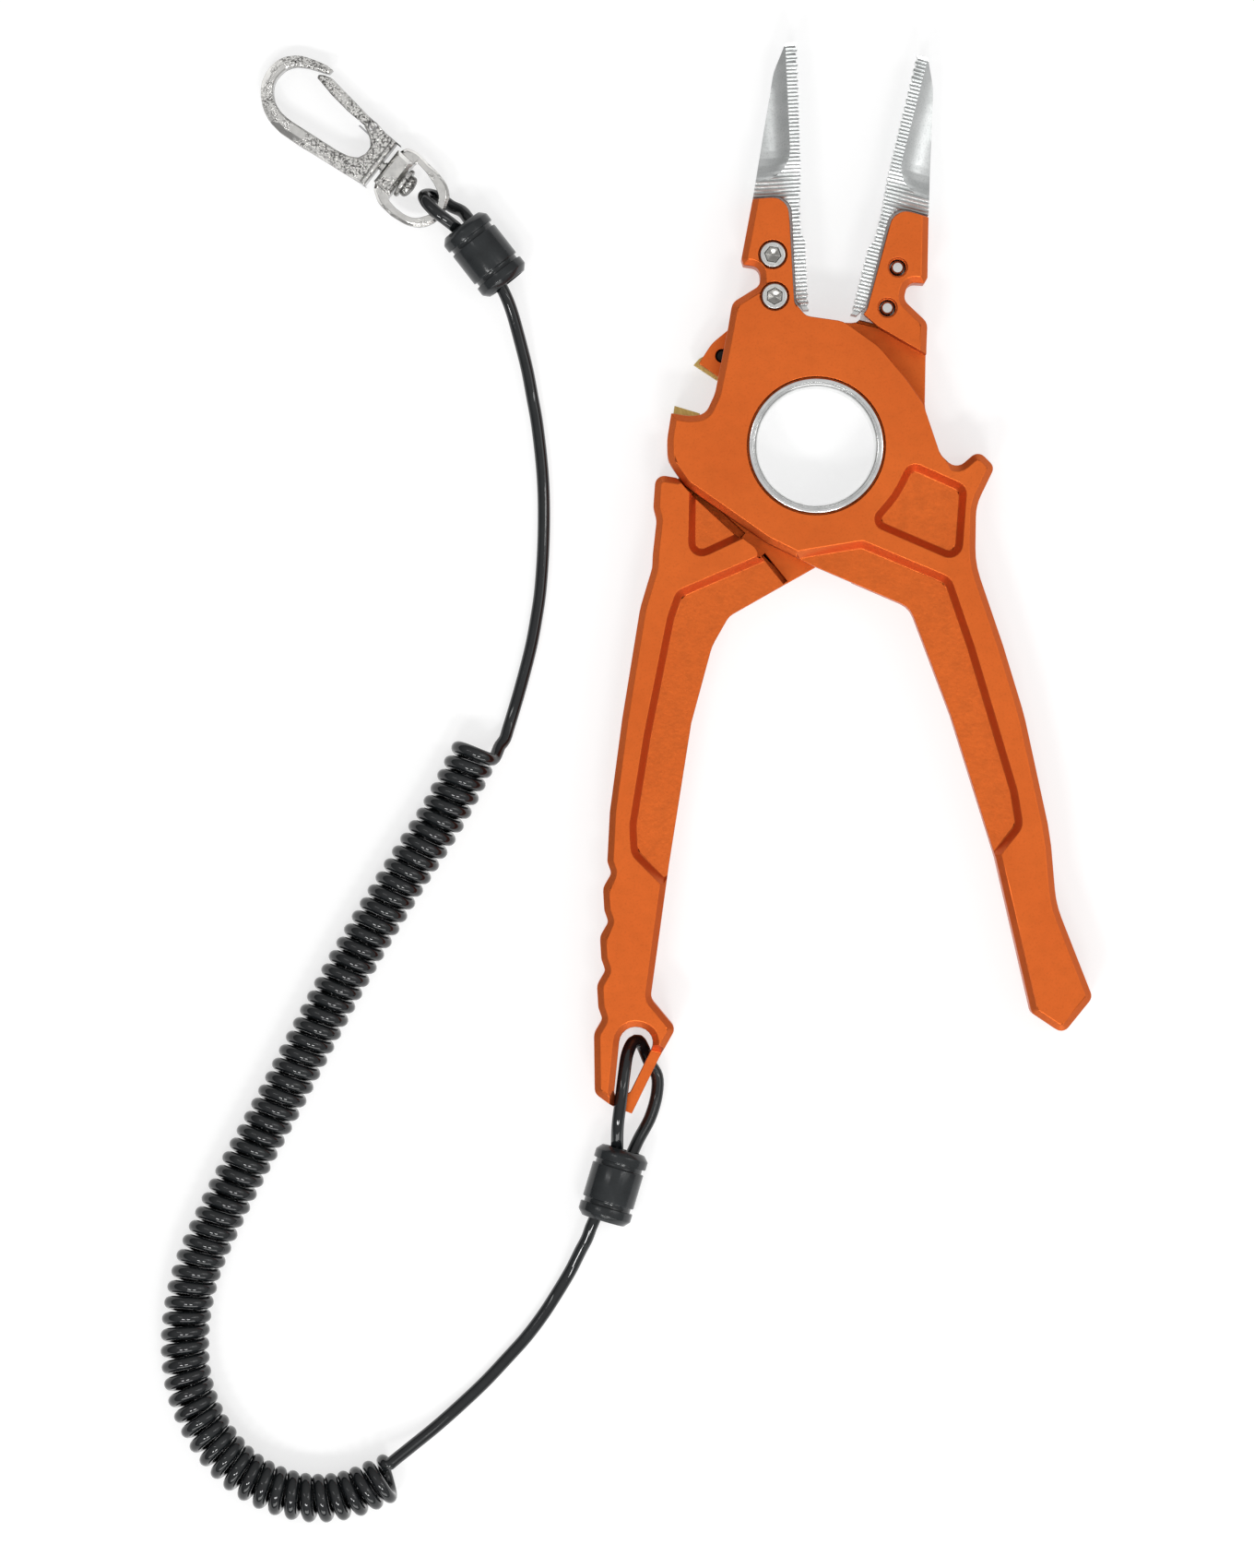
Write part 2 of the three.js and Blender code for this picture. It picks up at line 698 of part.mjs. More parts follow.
// ---------------------------------------------------------------- lanyard
// Routes are measured from the pivot axis, with heights from the surface the object lies on.
const LOOP_ONE = [
  [-21.6, -126.6, 5.5],
  [-21.8, -124.6, 6.1],
  [-22.1, -120.4, 8.6],
  [-22, -116, 9.3],
  [-21.9, -111.5, 8.9],
  [-21.7, -108, 7.6],
  [-21, -106, 6.2],
  [-20, -105.6, 5],
  [-19, -106.9, 3.6],
  [-17.7, -109.3, 2.8],
  [-16.2, -111.4, 2.6],
  [-15.9, -114.4, 2.6],
  [-16.6, -118.6, 3],
  [-18.3, -122.8, 3.7],
  [-19.6, -126.5, 4],
];
const LEAD_ONE = [
  [-23.9, -134.9, 4.65],
  [-24.4, -137.1, 4.5],
  [-24.9, -138.7, 4.2],
  [-25.4, -140.7, 3.6],
  [-26.2, -142.7, 2.9],
  [-27.7, -146.7, 1.7],
  [-29.6, -150.8, 1.2],
  [-31.7, -154.9, 1.2],
  [-34.2, -159, 1.2],
  [-37.2, -163.1, 1.2],
  [-40.4, -167.3, 1.2],
  [-44.1, -171.6, 1.4],
  [-48.1, -175.9, 2.5],
  [-51.8, -179.5, 4.2],
  [-54.2, -181.9, 5],
];
const COIL = [
  [-52.6, -57.4],
  [-53.6, -59.6],
  [-57.6, -69.7],
  [-64.1, -82.8],
  [-70.5, -96.5],
  [-75.8, -109.4],
  [-80.8, -122.1],
  [-85.9, -134.5],
  [-89.5, -144.2],
  [-92.3, -153.6],
  [-93.1, -163.8],
  [-91.4, -173.3],
  [-87.1, -181.1],
  [-81.2, -186.7],
  [-75.1, -189.5],
  [-68.8, -190.4],
  [-62.3, -189.2],
  [-55.7, -185.7],
  [-53.9, -184.7],
].map(([x, y]) => [x, y, COIL_OUTER / 2]);
const LEAD_TWO = [
  [-49.6, -58, 3.1],
  [-48.6, -56.2, 2.1],
  [-48.1, -54.1, 1.4],
  [-47.6, -51.6, 1.2],
  [-46.7, -46.7, 1.2],
  [-45.6, -39.4, 1.2],
  [-45.2, -34.5, 1.2],
  [-45, -29.6, 1.2],
  [-45.4, -20, 1.2],
  [-46.5, -10.5, 1.2],
  [-48.5, -1, 1.2],
  [-49.8, 3.6, 1.3],
  [-51.2, 8.3, 1.8],
  [-52.9, 13, 2.7],
  [-54.7, 17.6, 3.8],
  [-55.8, 19.9, 4.4],
  [-57, 21.9, 4.65],
  [-58.2, 23.7, 4.65],
];
const LOOP_TWO = [
  [-64.2, 29.7, 5],
  [-65.7, 31.2, 5.6],
  [-67.7, 32.5, 6.8],
  [-69.7, 33.7, 7.2],
  [-71.4, 35.1, 6.5],
  [-72.1, 36.3, 4.7],
  [-71.2, 36.8, 2.6],
  [-69.4, 36.4, 1.5],
  [-67.2, 35.2, 1.5],
  [-65.3, 34.5, 2.2],
  [-63.9, 33.1, 3.6],
  [-62.5, 31.2, 4.35],
];
const BARREL_ONE = { from: [-20.64, -124.72], to: [-23, -137.28] };
const BARREL_TWO = { from: [-65, 31.95], to: [-56.14, 22.71] };

function barrelProfile() {
  const half = BARREL_LENGTH / 2;
  const r = BARREL_RADIUS;
  const bore = FERRULE_RADIUS + FIT;
  return [
    [bore, -half],
    [r - 0.9, -half],
    [r, -half + 0.8],
    [r, -half + 2.1],
    [r - 0.5, -half + 2.4],
    [r - 0.5, -half + 3],
    [r, -half + 3.3],
    [r, half - 3.3],
    [r - 0.5, half - 3],
    [r - 0.5, half - 2.4],
    [r, half - 2.1],
    [r, half - 0.8],
    [r - 0.9, half],
    [bore, half],
  ];
}

// ---------------------------------------------------------------- swivel clip, along its own X axis
const SWIVEL = { at: [-78.58, 40, 3.62], heading: 148.5, lean: 3.6 };
const FRAME_HEIGHT = 3.4;
const BOW_HEIGHT = 2.4;
const CROSSBAR = [[-2.8, -3.6], [0.8, -3.9], [0.9, 3], [-2.8, 3.3]]; // swells round the post
const CROSSBAR_HEIGHT = 4.6;
const POST_RADIUS = 1.1;
const POST_TAIL_RADIUS = 0.8; // the part of the post set into the clip's base

const BOW_OUTER = [
  [-0.1, -5.15, 0.8],
  [0.45, -4.05, 2],
  [0.85, 2.55, 2],
  [0.1, 4.15, 1.2],
  [-1.9, 5.55, 3],
  [-5, 5.95, 5],
  [-8, 5.65, 5],
  [-10.3, 4.65, 4],
  [-11.9, 2.45, 4],
  [-12.1, -0.45, 4],
  [-11, -3.15, 3],
  [-9.5, -4.35, 4],
  [-6.9, -5.05, 5],
  [-4.7, -5.25, 6],
  [-1.9, -5.65, 3],
];
const BOW_INNER = [
  [-2.8, -4.25, 0.6],
  [-5.4, -3.75, 4],
  [-8.1, -2.85, 4],
  [-9.9, -1.65, 2],
  [-10.5, 0.05, 2],
  [-10.3, 1.75, 2],
  [-8.8, 3.75, 2.5],
  [-7, 4.35, 3],
  [-4.8, 4.35, 2],
  [-2.8, 3.95, 0.6],
];

const CLIP_OUTER = [
  [1.8, 4.55, 0.5],
  [6.5, 5.05, 6],
  [15.9, 5.95, 8],
  [19.1, 6.15, 5],
  [21.7, 5.75, 4],
  [23.9, 4.75, 4],
  [26.1, 2.75, 4],
  [27.2, 0.85, 4],
  [27.6, -1.45, 4],
  [27.2, -3.95, 4],
  [26, -5.55, 4],
  [24.3, -6.85, 4],
  [21.9, -7.65, 4],
  [19.8, -8.1, 1],
  [18.4, -8.1],
];
const CLIP_INNER = [
  [18.5, -7.15],
  [20.6, -6.35, 4],
  [22.2, -5.75, 4],
  [24, -4.65, 3],
  [25, -3.35, 3],
  [25.3, -1.55, 3],
  [25.2, -0.05, 3],
  [24.3, 1.35, 3],
  [23.1, 2.45, 3],
  [21.4, 3.15, 4],
  [19.2, 3.35, 6],
  [14.1, 2.95],
  [9.1, 2.55, 5],
  [7.1, 2.15, 2],
  [5.6, 1.35, 1],
  [5, 0.05, 1],
  [5, -1.35, 1],
  [5.8, -2.35, 1],
  [7, -3.15, 1],
  [8.1, -3.65, 0.4],
  [8.4, -4.55, 0.8],
  [7.7, -5.45, 0.8],
  [6.3, -5.35, 1],
  [4.5, -4.95],
  [1.8, -4.75, 0.5],
];
const GATE_PIVOT = [6.95, -4.55];
const GATE = [
  [8.3, -5.5, 2],
  [17.7, -6.9],
  [19.2, -6.45],
  [20, -5.95, 0.3],
  [19.8, -5.4, 0.3],
  [15.8, -4.5],
  [12.1, -4, 4],
  [8.1, -3.8],
  [6.8, -3.65, 0.5],
  [5.9, -3.85, 0.5],
  [5.7, -4.55, 0.6],
  [6.4, -5.35, 0.6],
];
const GATE_HEIGHT = 1.6;
const GATE_SLOT = [[5.1, -7], [10, -7], [10, -2.3], [5.1, -2.3]];

function along(geometry, x) {
  return geometry.rotateY(Math.PI / 2).translate(x, 0, 0);
}

function bow() {
  const half = BOW_HEIGHT / 2;
  return shaped(
    plate(BOW_OUTER, -half, half, 0.5),
    [plate(CROSSBAR, -CROSSBAR_HEIGHT / 2, CROSSBAR_HEIGHT / 2, 0.7)],
    [plate(BOW_INNER, -4, 4), along(cylinder(POST_RADIUS + FIT, -4, 1, [0, 0], 16), 0)],
  );
}

function post() {
  const points = [
    [0, -5.3],
    [1.3, -5.3],
    [2, -4.8],
    [2.1, -4.2],
    [1.9, -3.75],
    [2.75, -3.75],
    [2.75, -3.05],
    [POST_RADIUS, -3.05],
    [POST_RADIUS, 1.2],
    [POST_TAIL_RADIUS, 1.3],
    [POST_TAIL_RADIUS, 4],
    [0, 4],
  ];
  const profile = points.map(([r, z]) => new THREE.Vector2(r, z));
  return along(new THREE.LatheGeometry(profile, 20).rotateX(Math.PI / 2), 0);
}

function clipFrame() {
  const half = FRAME_HEIGHT / 2;
  const slot = GATE_HEIGHT / 2 + FIT;
  const flange = [[1.8, 4.6], [1.8, -4.75], [2.8, -4.75], [2.8, 4.6]];
  return shaped(
    plate([...CLIP_OUTER, ...CLIP_INNER], -half, half, 0.3),
    [plate(flange, -half - 0.4, half + 0.4, 0.3)],
    [
      along(cylinder(POST_TAIL_RADIUS + FIT, 1, 4.3, [0, 0], 16), 0),
      plate(GATE_SLOT, -slot, slot),
      cylinder(0.5 + FIT, -4, 4, GATE_PIVOT, 12),
    ],
  );
}

function gate() {
  const half = GATE_HEIGHT / 2;
  return shaped(plate(GATE, -half, half, 0.25), [], [cylinder(0.5 + FIT, -4, 4, GATE_PIVOT, 12)]);
}

// Leaf spring between the base of the clip and the gate.
function gateSpring() {
  const corners = [[5.4, -3.3], [5.65, -3.3], [5.75, -3.1], [8.9, -3.4], [9, -3.1], [5.5, -2.75]];
  return plate(corners, -0.5, 0.5);
}

// ---------------------------------------------------------------- assembly
function piece(parent, name, geometry, material) {
  const mesh = new THREE.Mesh(closed(geometry), material);
  mesh.name = name;
  parent.add(mesh);
  return mesh;
}

const assembly = new THREE.Group();
assembly.position.set(ORIGIN[0], ORIGIN[1], 0);

const lower = new THREE.Group();
lower.rotation.z = degrees(-OPEN_ANGLE / 2);
assembly.add(lower);
piece(lower, 'lower_half', lowerHalf(), anodised());
piece(lower, 'lower_jaw', jaw(), steel());
SCREW_PLACES.forEach((place, k) => {
  piece(lower, `lower_jaw_screw_${k + 1}`, flipZ(socketScrew(place)), polished());
});
piece(lower, 'lower_cutter', blade('lower', 1), carbide());
piece(lower, 'lower_cutter_screw', cutterScrew(BLADE_SCREWS.lower), steel());
piece(lower, 'pivot_tube', pivotTube(), polished());
piece(lower, 'pivot_ring', pivotRing(), polished());

const upper = new THREE.Group();
upper.rotation.z = degrees(OPEN_ANGLE / 2);
assembly.add(upper);
piece(upper, 'upper_half', upperHalf(), anodised());
piece(upper, 'upper_jaw', flipX(jaw()), steel());
SCREW_PLACES.forEach(([x, y], k) => {
  piece(upper, `upper_jaw_screw_${k + 1}`, socketScrew([-x, y]), polished());
});
piece(upper, 'upper_cutter', blade('upper', -1), carbide());
piece(upper, 'upper_cutter_screw', cutterScrew(BLADE_SCREWS.upper), steel());

piece(assembly, 'torsion_spring', torsionSpring(), steel());
const washerLow = MID - WASHER_HEIGHT / 2;
piece(assembly, 'lap_washer', ring(...WASHER, washerLow, washerLow + WASHER_HEIGHT), polymer());

piece(assembly, 'cord_loop_handle', tube(LOOP_ONE, CORD / 2, 24), glossy());
piece(assembly, 'cord_lead_handle', tube(LEAD_ONE, CORD / 2, 14), glossy());
piece(assembly, 'cord_coil', tube(COIL, COIL_OUTER / 2, 34, 10), glossy());
piece(assembly, 'cord_lead_clip', tube(LEAD_TWO, CORD / 2, 16), glossy());
piece(assembly, 'cord_loop_clip', tube(LOOP_TWO, CORD / 2, 20), glossy());

[['handle', BARREL_ONE], ['clip', BARREL_TWO]].forEach(([side, { from, to }]) => {
  const start = new THREE.Vector3(...from, BARREL_RADIUS);
  const end = new THREE.Vector3(...to, BARREL_RADIUS);
  const barrel = new THREE.Group();
  barrel.position.copy(start.clone().lerp(end, 0.5));
  const heading = end.clone().sub(start).normalize();
  barrel.quaternion.setFromUnitVectors(new THREE.Vector3(0, 0, 1), heading);
  assembly.add(barrel);
  piece(barrel, `cord_barrel_${side}`, lathe(barrelProfile(), 20), polymer());
  const reach = FERRULE_LENGTH / 2;
  piece(barrel, `cord_ferrule_${side}`, cylinder(FERRULE_RADIUS, -reach, reach, [0, 0], 20), steel());
});

const swivel = new THREE.Group();
swivel.position.set(...SWIVEL.at);
swivel.rotation.z = degrees(SWIVEL.heading);
const leaning = new THREE.Group();
leaning.rotation.y = degrees(SWIVEL.lean);
swivel.add(leaning);
assembly.add(swivel);
piece(leaning, 'swivel_bow', bow(), nickel());
piece(leaning, 'swivel_post', post(), nickel());
piece(leaning, 'clip_frame', clipFrame(), nickel());
piece(leaning, 'clip_gate', gate(), nickel());
const pinReach = FRAME_HEIGHT / 2 + 0.15;
piece(leaning, 'gate_pin', cylinder(0.5, -pinReach, pinReach, GATE_PIVOT, 12), nickel());
piece(leaning, 'gate_spring', gateSpring(), steel());

export default assembly;
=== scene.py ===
"""Looks for the fishing pliers and their coiled lanyard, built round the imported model."""

import json
import math

import bmesh
import bpy
import numpy as np
from mathutils import Matrix, Vector

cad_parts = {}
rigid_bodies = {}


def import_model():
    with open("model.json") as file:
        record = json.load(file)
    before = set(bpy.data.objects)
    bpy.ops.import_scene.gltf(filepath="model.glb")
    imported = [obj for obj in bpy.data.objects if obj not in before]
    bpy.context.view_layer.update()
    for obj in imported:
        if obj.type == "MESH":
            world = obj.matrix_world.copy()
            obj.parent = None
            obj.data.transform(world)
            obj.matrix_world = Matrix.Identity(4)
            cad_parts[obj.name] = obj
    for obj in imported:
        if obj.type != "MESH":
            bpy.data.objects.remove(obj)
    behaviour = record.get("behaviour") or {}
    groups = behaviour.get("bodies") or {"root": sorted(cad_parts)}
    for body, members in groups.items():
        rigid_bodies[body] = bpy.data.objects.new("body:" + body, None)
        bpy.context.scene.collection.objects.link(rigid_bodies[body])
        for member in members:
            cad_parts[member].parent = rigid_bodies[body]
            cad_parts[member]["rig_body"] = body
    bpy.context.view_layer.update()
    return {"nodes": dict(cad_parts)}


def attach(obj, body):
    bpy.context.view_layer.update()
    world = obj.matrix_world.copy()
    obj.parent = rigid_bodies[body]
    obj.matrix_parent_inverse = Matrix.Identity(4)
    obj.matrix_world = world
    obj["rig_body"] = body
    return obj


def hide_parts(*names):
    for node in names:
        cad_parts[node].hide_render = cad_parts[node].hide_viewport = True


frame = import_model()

MM = 0.001
SAME_PLACE = 1e-7  # metres; points nearer than this are one point
PIVOT = Vector((-14.037, 24.522, 0))  # pivot axis in the row frame, mm
THICKNESS = 12
OPEN_HALF = 8.4  # degrees each half stands away from the middle line

# ---------------------------------------------------------------- camera
FIELD_HEIGHT = 272.0  # mm seen up the frame at the object's middle height
LOOK_AT = Vector((-40.6, -37.0, 5))
ROLL = 5.88  # degrees
DISTANCE = 1900
SENSOR = 36

camera_data = bpy.data.cameras.new("camera")
camera_data.sensor_width = SENSOR
camera_data.lens = SENSOR * DISTANCE / FIELD_HEIGHT
camera_data.clip_start = 0.1
camera_data.clip_end = 20
camera = bpy.data.objects.new("camera", camera_data)
camera.location = (LOOK_AT + Vector((0, 0, DISTANCE))) * MM
camera.rotation_euler = (0, 0, math.radians(ROLL))
bpy.context.scene.collection.objects.link(camera)
bpy.context.scene.camera = camera


# ---------------------------------------------------------------- mesh helpers
def link(name, mesh):
    obj = bpy.data.objects.new(name, mesh)
    bpy.context.scene.collection.objects.link(obj)
    return obj


def smooth(obj, angle):
    """Smooth shading with edges sharper than the angle kept."""
    mesh = obj.data
    bm = bmesh.new()
    bm.from_mesh(mesh)
    limit = math.radians(angle)
    for face in bm.faces:
        face.smooth = True
    for edge in bm.edges:
        if len(edge.link_faces) == 2:
            edge.smooth = edge.calc_face_angle(0) < limit
    bm.to_mesh(mesh)
    bm.free()
    return obj


def from_arrays(name, points, faces, scale=MM):
    mesh = bpy.data.meshes.new(name)
    mesh.from_pydata([tuple(np.array(p, float) * scale) for p in points], [], faces)
    mesh.validate()
    bm = bmesh.new()
    bm.from_mesh(mesh)
    bmesh.ops.recalc_face_normals(bm, faces=bm.faces)
    bm.to_mesh(mesh)
    bm.free()
    return link(name, mesh)


def catmull(points, step):
    """Points about step apart on the centripetal Catmull-Rom curve through the given ones."""
    p = np.array(points, float)
    p = np.vstack([2 * p[0] - p[1], p, 2 * p[-1] - p[-2]])
    out = []
    for k in range(1, len(p) - 2):
        a, b, c, d = p[k - 1], p[k], p[k + 1], p[k + 2]
        knots = [0.0]
        for u, v in ((a, b), (b, c), (c, d)):
            knots.append(knots[-1] + max(np.linalg.norm(v - u), 1e-6) ** 0.5)
        t0, t1, t2, t3 = knots
        count = max(1, round(np.linalg.norm(c - b) / step))
        for t in np.linspace(t1, t2, count, endpoint=False):
            a1 = (t1 - t) / (t1 - t0) * a + (t - t0) / (t1 - t0) * b
            a2 = (t2 - t) / (t2 - t1) * b + (t - t1) / (t2 - t1) * c
            a3 = (t3 - t) / (t3 - t2) * c + (t - t2) / (t3 - t2) * d
            b1 = (t2 - t) / (t2 - t0) * a1 + (t - t0) / (t2 - t0) * a2
            b2 = (t3 - t) / (t3 - t1) * a2 + (t - t1) / (t3 - t1) * a3
            out.append((t2 - t) / (t2 - t1) * b1 + (t - t1) / (t2 - t1) * b2)
    out.append(p[-2])
    return np.array(out)


def length_of(points):
    return float(np.linalg.norm(np.diff(points, axis=0), axis=1).sum())


def tube(name, points, radius, sides):
    """A round tube with closed ends along a fine polyline, in mm."""
    points = np.array(points, float)
    tangents = np.gradient(points, axis=0)
    tangents /= np.linalg.norm(tangents, axis=1)[:, None]
    normal = np.cross(tangents[0], (0, 0, 1))
    normal /= np.linalg.norm(normal)
    rings, faces = [], []
    turns = np.arange(sides) * 2 * math.pi / sides
    for place, along in zip(points, tangents):
        normal = normal - along * normal.dot(along)
        normal /= np.linalg.norm(normal)
        other = np.cross(along, normal)
        for turn in turns:
            rings.append(place + radius * (math.cos(turn) * normal + math.sin(turn) * other))
    for k in range(len(points) - 1):
        for j in range(sides):
            a, b = k * sides + j, k * sides + (j + 1) % sides
            faces.append((a, b, b + sides, a + sides))
    last = (len(points) - 1) * sides
    faces.append(tuple(range(sides)))
    faces.append(tuple(last + j for j in range(sides)))
    return smooth(from_arrays(name, rings, faces), 60)


def turned(name, rings, segments, matrix, angle):
    """A body of revolution about the matrix's Z axis, in mm, the last ring joined to the first.

    A ring is (radius, height); its radius may be a function of the turn in radians.
    """
    points, faces = [], []
    count = len(rings)
    for k in range(segments):
        turn = 2 * math.pi * k / segments
        for radius, height in rings:
            r = radius(turn) if callable(radius) else radius
            points.append(matrix @ Vector((r * math.cos(turn), r * math.sin(turn), height)))
    for k in range(segments):
        for j in range(count):
            a, b = k * count + j, k * count + (j + 1) % count
            following = (k + 1) % segments * count
            faces.append((a, b, following + (j + 1) % count, following + j))
    obj = from_arrays(name, points, faces)
    bm = bmesh.new()
    bm.from_mesh(obj.data)
    bmesh.ops.remove_doubles(bm, verts=bm.verts, dist=SAME_PLACE)
    bmesh.ops.recalc_face_normals(bm, faces=bm.faces)
    bm.to_mesh(obj.data)
    bm.free()
    return smooth(obj, angle)


def turn_about_z(degrees):
    return Matrix.Rotation(math.radians(degrees), 4, "Z")


def on_pivot(height=0, turn=0):
    """Matrix to the row frame from one on the pivot axis, at a height and turned about Z."""
    return Matrix.Translation(PIVOT + Vector((0, 0, height))) @ turn_about_z(turn)


# ---------------------------------------------------------------- lanyard cord
CORD = 2.2
COIL_RADIUS = 3.2  # to the middle of the cord
COIL_LEVEL = 4.3
LOOP_ONE = [
    (-21.6, -126.6, 5.5), (-21.8, -124.6, 6.1), (-22.1, -120.4, 8.6), (-22, -116, 9.3),
    (-21.9, -111.5, 8.9), (-21.7, -108, 7.6), (-21, -106, 6.2), (-20, -105.6, 5),
    (-19, -106.9, 3.6), (-17.7, -109.3, 2.8), (-16.2, -111.4, 2.6), (-15.9, -114.4, 2.6),
    (-16.6, -118.6, 3), (-18.3, -122.8, 3.7), (-19.6, -126.5, 4),
]
LEAD_ONE = [
    (-21.9, -131, 4.4), (-23.9, -134.9, 4.65), (-24.4, -137.1, 4.5), (-24.9, -138.7, 4.2),
    (-25.4, -140.7, 3.6), (-26.2, -142.7, 2.9), (-27.7, -146.7, 1.7), (-29.6, -150.8, 1.2),
    (-31.7, -154.9, 1.2), (-34.2, -159, 1.2), (-37.2, -163.1, 1.2), (-40.4, -167.3, 1.2),
    (-44.1, -171.6, 1.4), (-48.1, -175.9, 2.5), (-51.8, -179.5, 4.4), (-54, -181.6, 5.7),
]
COIL = [
    (-52.6, -57.4), (-53.6, -59.6), (-57.6, -69.7), (-64.1, -82.8), (-70.5, -96.5),
    (-75.8, -109.4), (-80.8, -122.1), (-85.9, -134.5), (-89.5, -144.2), (-92.3, -153.6),
    (-93.1, -163.8), (-91.4, -173.3), (-87.1, -181.1), (-81.2, -186.7), (-75.1, -189.5),
    (-68.8, -190.4), (-62.3, -189.2), (-55.7, -185.7), (-53.9, -184.7),
]
LEAD_TWO = [
    (-49.2, -57.2, 2.7), (-48.5, -56, 2), (-48.1, -54.1, 1.4), (-47.6, -51.6, 1.2),
    (-46.7, -46.7, 1.2), (-45.6, -39.4, 1.2), (-45.2, -34.5, 1.2), (-45, -29.6, 1.2),
    (-45.4, -20, 1.2), (-46.5, -10.5, 1.2), (-48.5, -1, 1.2), (-49.8, 3.6, 1.3), (-51.2, 8.3, 1.8),
    (-52.9, 13, 2.7), (-54.7, 17.6, 3.8), (-55.8, 19.9, 4.4), (-57, 21.9, 4.65),
    (-58.4, 23.9, 4.65),
]
LOOP_TWO = [
    (-61, 27.3, 4.8), (-64.2, 29.7, 5), (-65.7, 31.2, 5.6), (-67.7, 32.5, 6.8), (-69.7, 33.7, 7.2),
    (-71.4, 35.1, 6.5), (-72.1, 36.3, 4.7), (-71.2, 36.8, 2.6), (-69.4, 36.4, 1.5),
    (-67.2, 35.2, 1.5), (-65.3, 34.5, 2.2), (-63.9, 33.1, 3.6), (-62.5, 31.2, 4.35),
]
TURNS = 64  # whole turns, and then from the start angle to the end angle, in degrees
START_ANGLE = 12
END_ANGLE = 48
PER_TURN = 20  # points in each turn
AXIS_STEP = 0.5  # mm between the points of the coil's axis
LEAD_STEP = 0.7  # mm between the points of the leads and loops
CORD_SIDES = 16
LEAD_IN = 4  # points into the coil, where a lead takes up the coil's direction


def helix():
    """The coil's cord, from the clip's end to the handle's end, as points relative to the pivot."""
    axis = catmull([(x, y, COIL_LEVEL) for x, y in COIL], AXIS_STEP)
    along = np.concatenate([[0], np.cumsum(np.linalg.norm(np.diff(axis, axis=0), axis=1))])
    first, last = math.radians(START_ANGLE), math.radians(360 * TURNS + END_ANGLE)
    count = round((last - first) / (2 * math.pi) * PER_TURN)
    angles = np.linspace(first, last, count)
    inset = CORD / 2
    at = np.interp(angles, [first, last], [inset, along[-1] - inset])
    centre = np.stack([np.interp(at, along, axis[:, k]) for k in range(3)], axis=1)
    heading = np.gradient(centre, axis=0)
    heading /= np.linalg.norm(heading, axis=1)[:, None]
    side = np.cross((0, 0, 1), heading)
    up = np.array([0, 0, 1.0])
    return centre + COIL_RADIUS * (np.cos(angles)[:, None] * side + np.sin(angles)[:, None] * up)


coil_points = helix()
before = catmull([*LOOP_ONE, *LEAD_ONE, coil_points[-1], coil_points[-1 - LEAD_IN]], LEAD_STEP)
after = catmull([coil_points[LEAD_IN], coil_points[0], *LEAD_TWO, *LOOP_TWO], LEAD_STEP)
cut_before = int(np.argmin(np.linalg.norm(before - coil_points[-1], axis=1)))
cut_after = int(np.argmin(np.linalg.norm(after - coil_points[0], axis=1)))
route = np.vstack([before[:cut_before], coil_points[::-1], after[cut_after + 1:]])
route = route + np.array(PIVOT)

cord = tube("lanyard_cord", route, CORD / 2, CORD_SIDES)
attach(cord, "lower_body")
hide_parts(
    "cord_loop_handle", "cord_lead_handle", "cord_coil", "cord_lead_clip", "cord_loop_clip"
)
print("cord length in metres", length_of(route) * MM, flush=True)


# ---------------------------------------------------------------- materials
def material(name, color, metallic, roughness):
    mat = bpy.data.materials.new(name)
    mat.use_nodes = True
    bsdf = mat.node_tree.nodes["Principled BSDF"]
    bsdf.inputs["Base Color"].default_value = (*color, 1)
    bsdf.inputs["Metallic"].default_value = metallic
    bsdf.inputs["Roughness"].default_value = roughness
    return mat


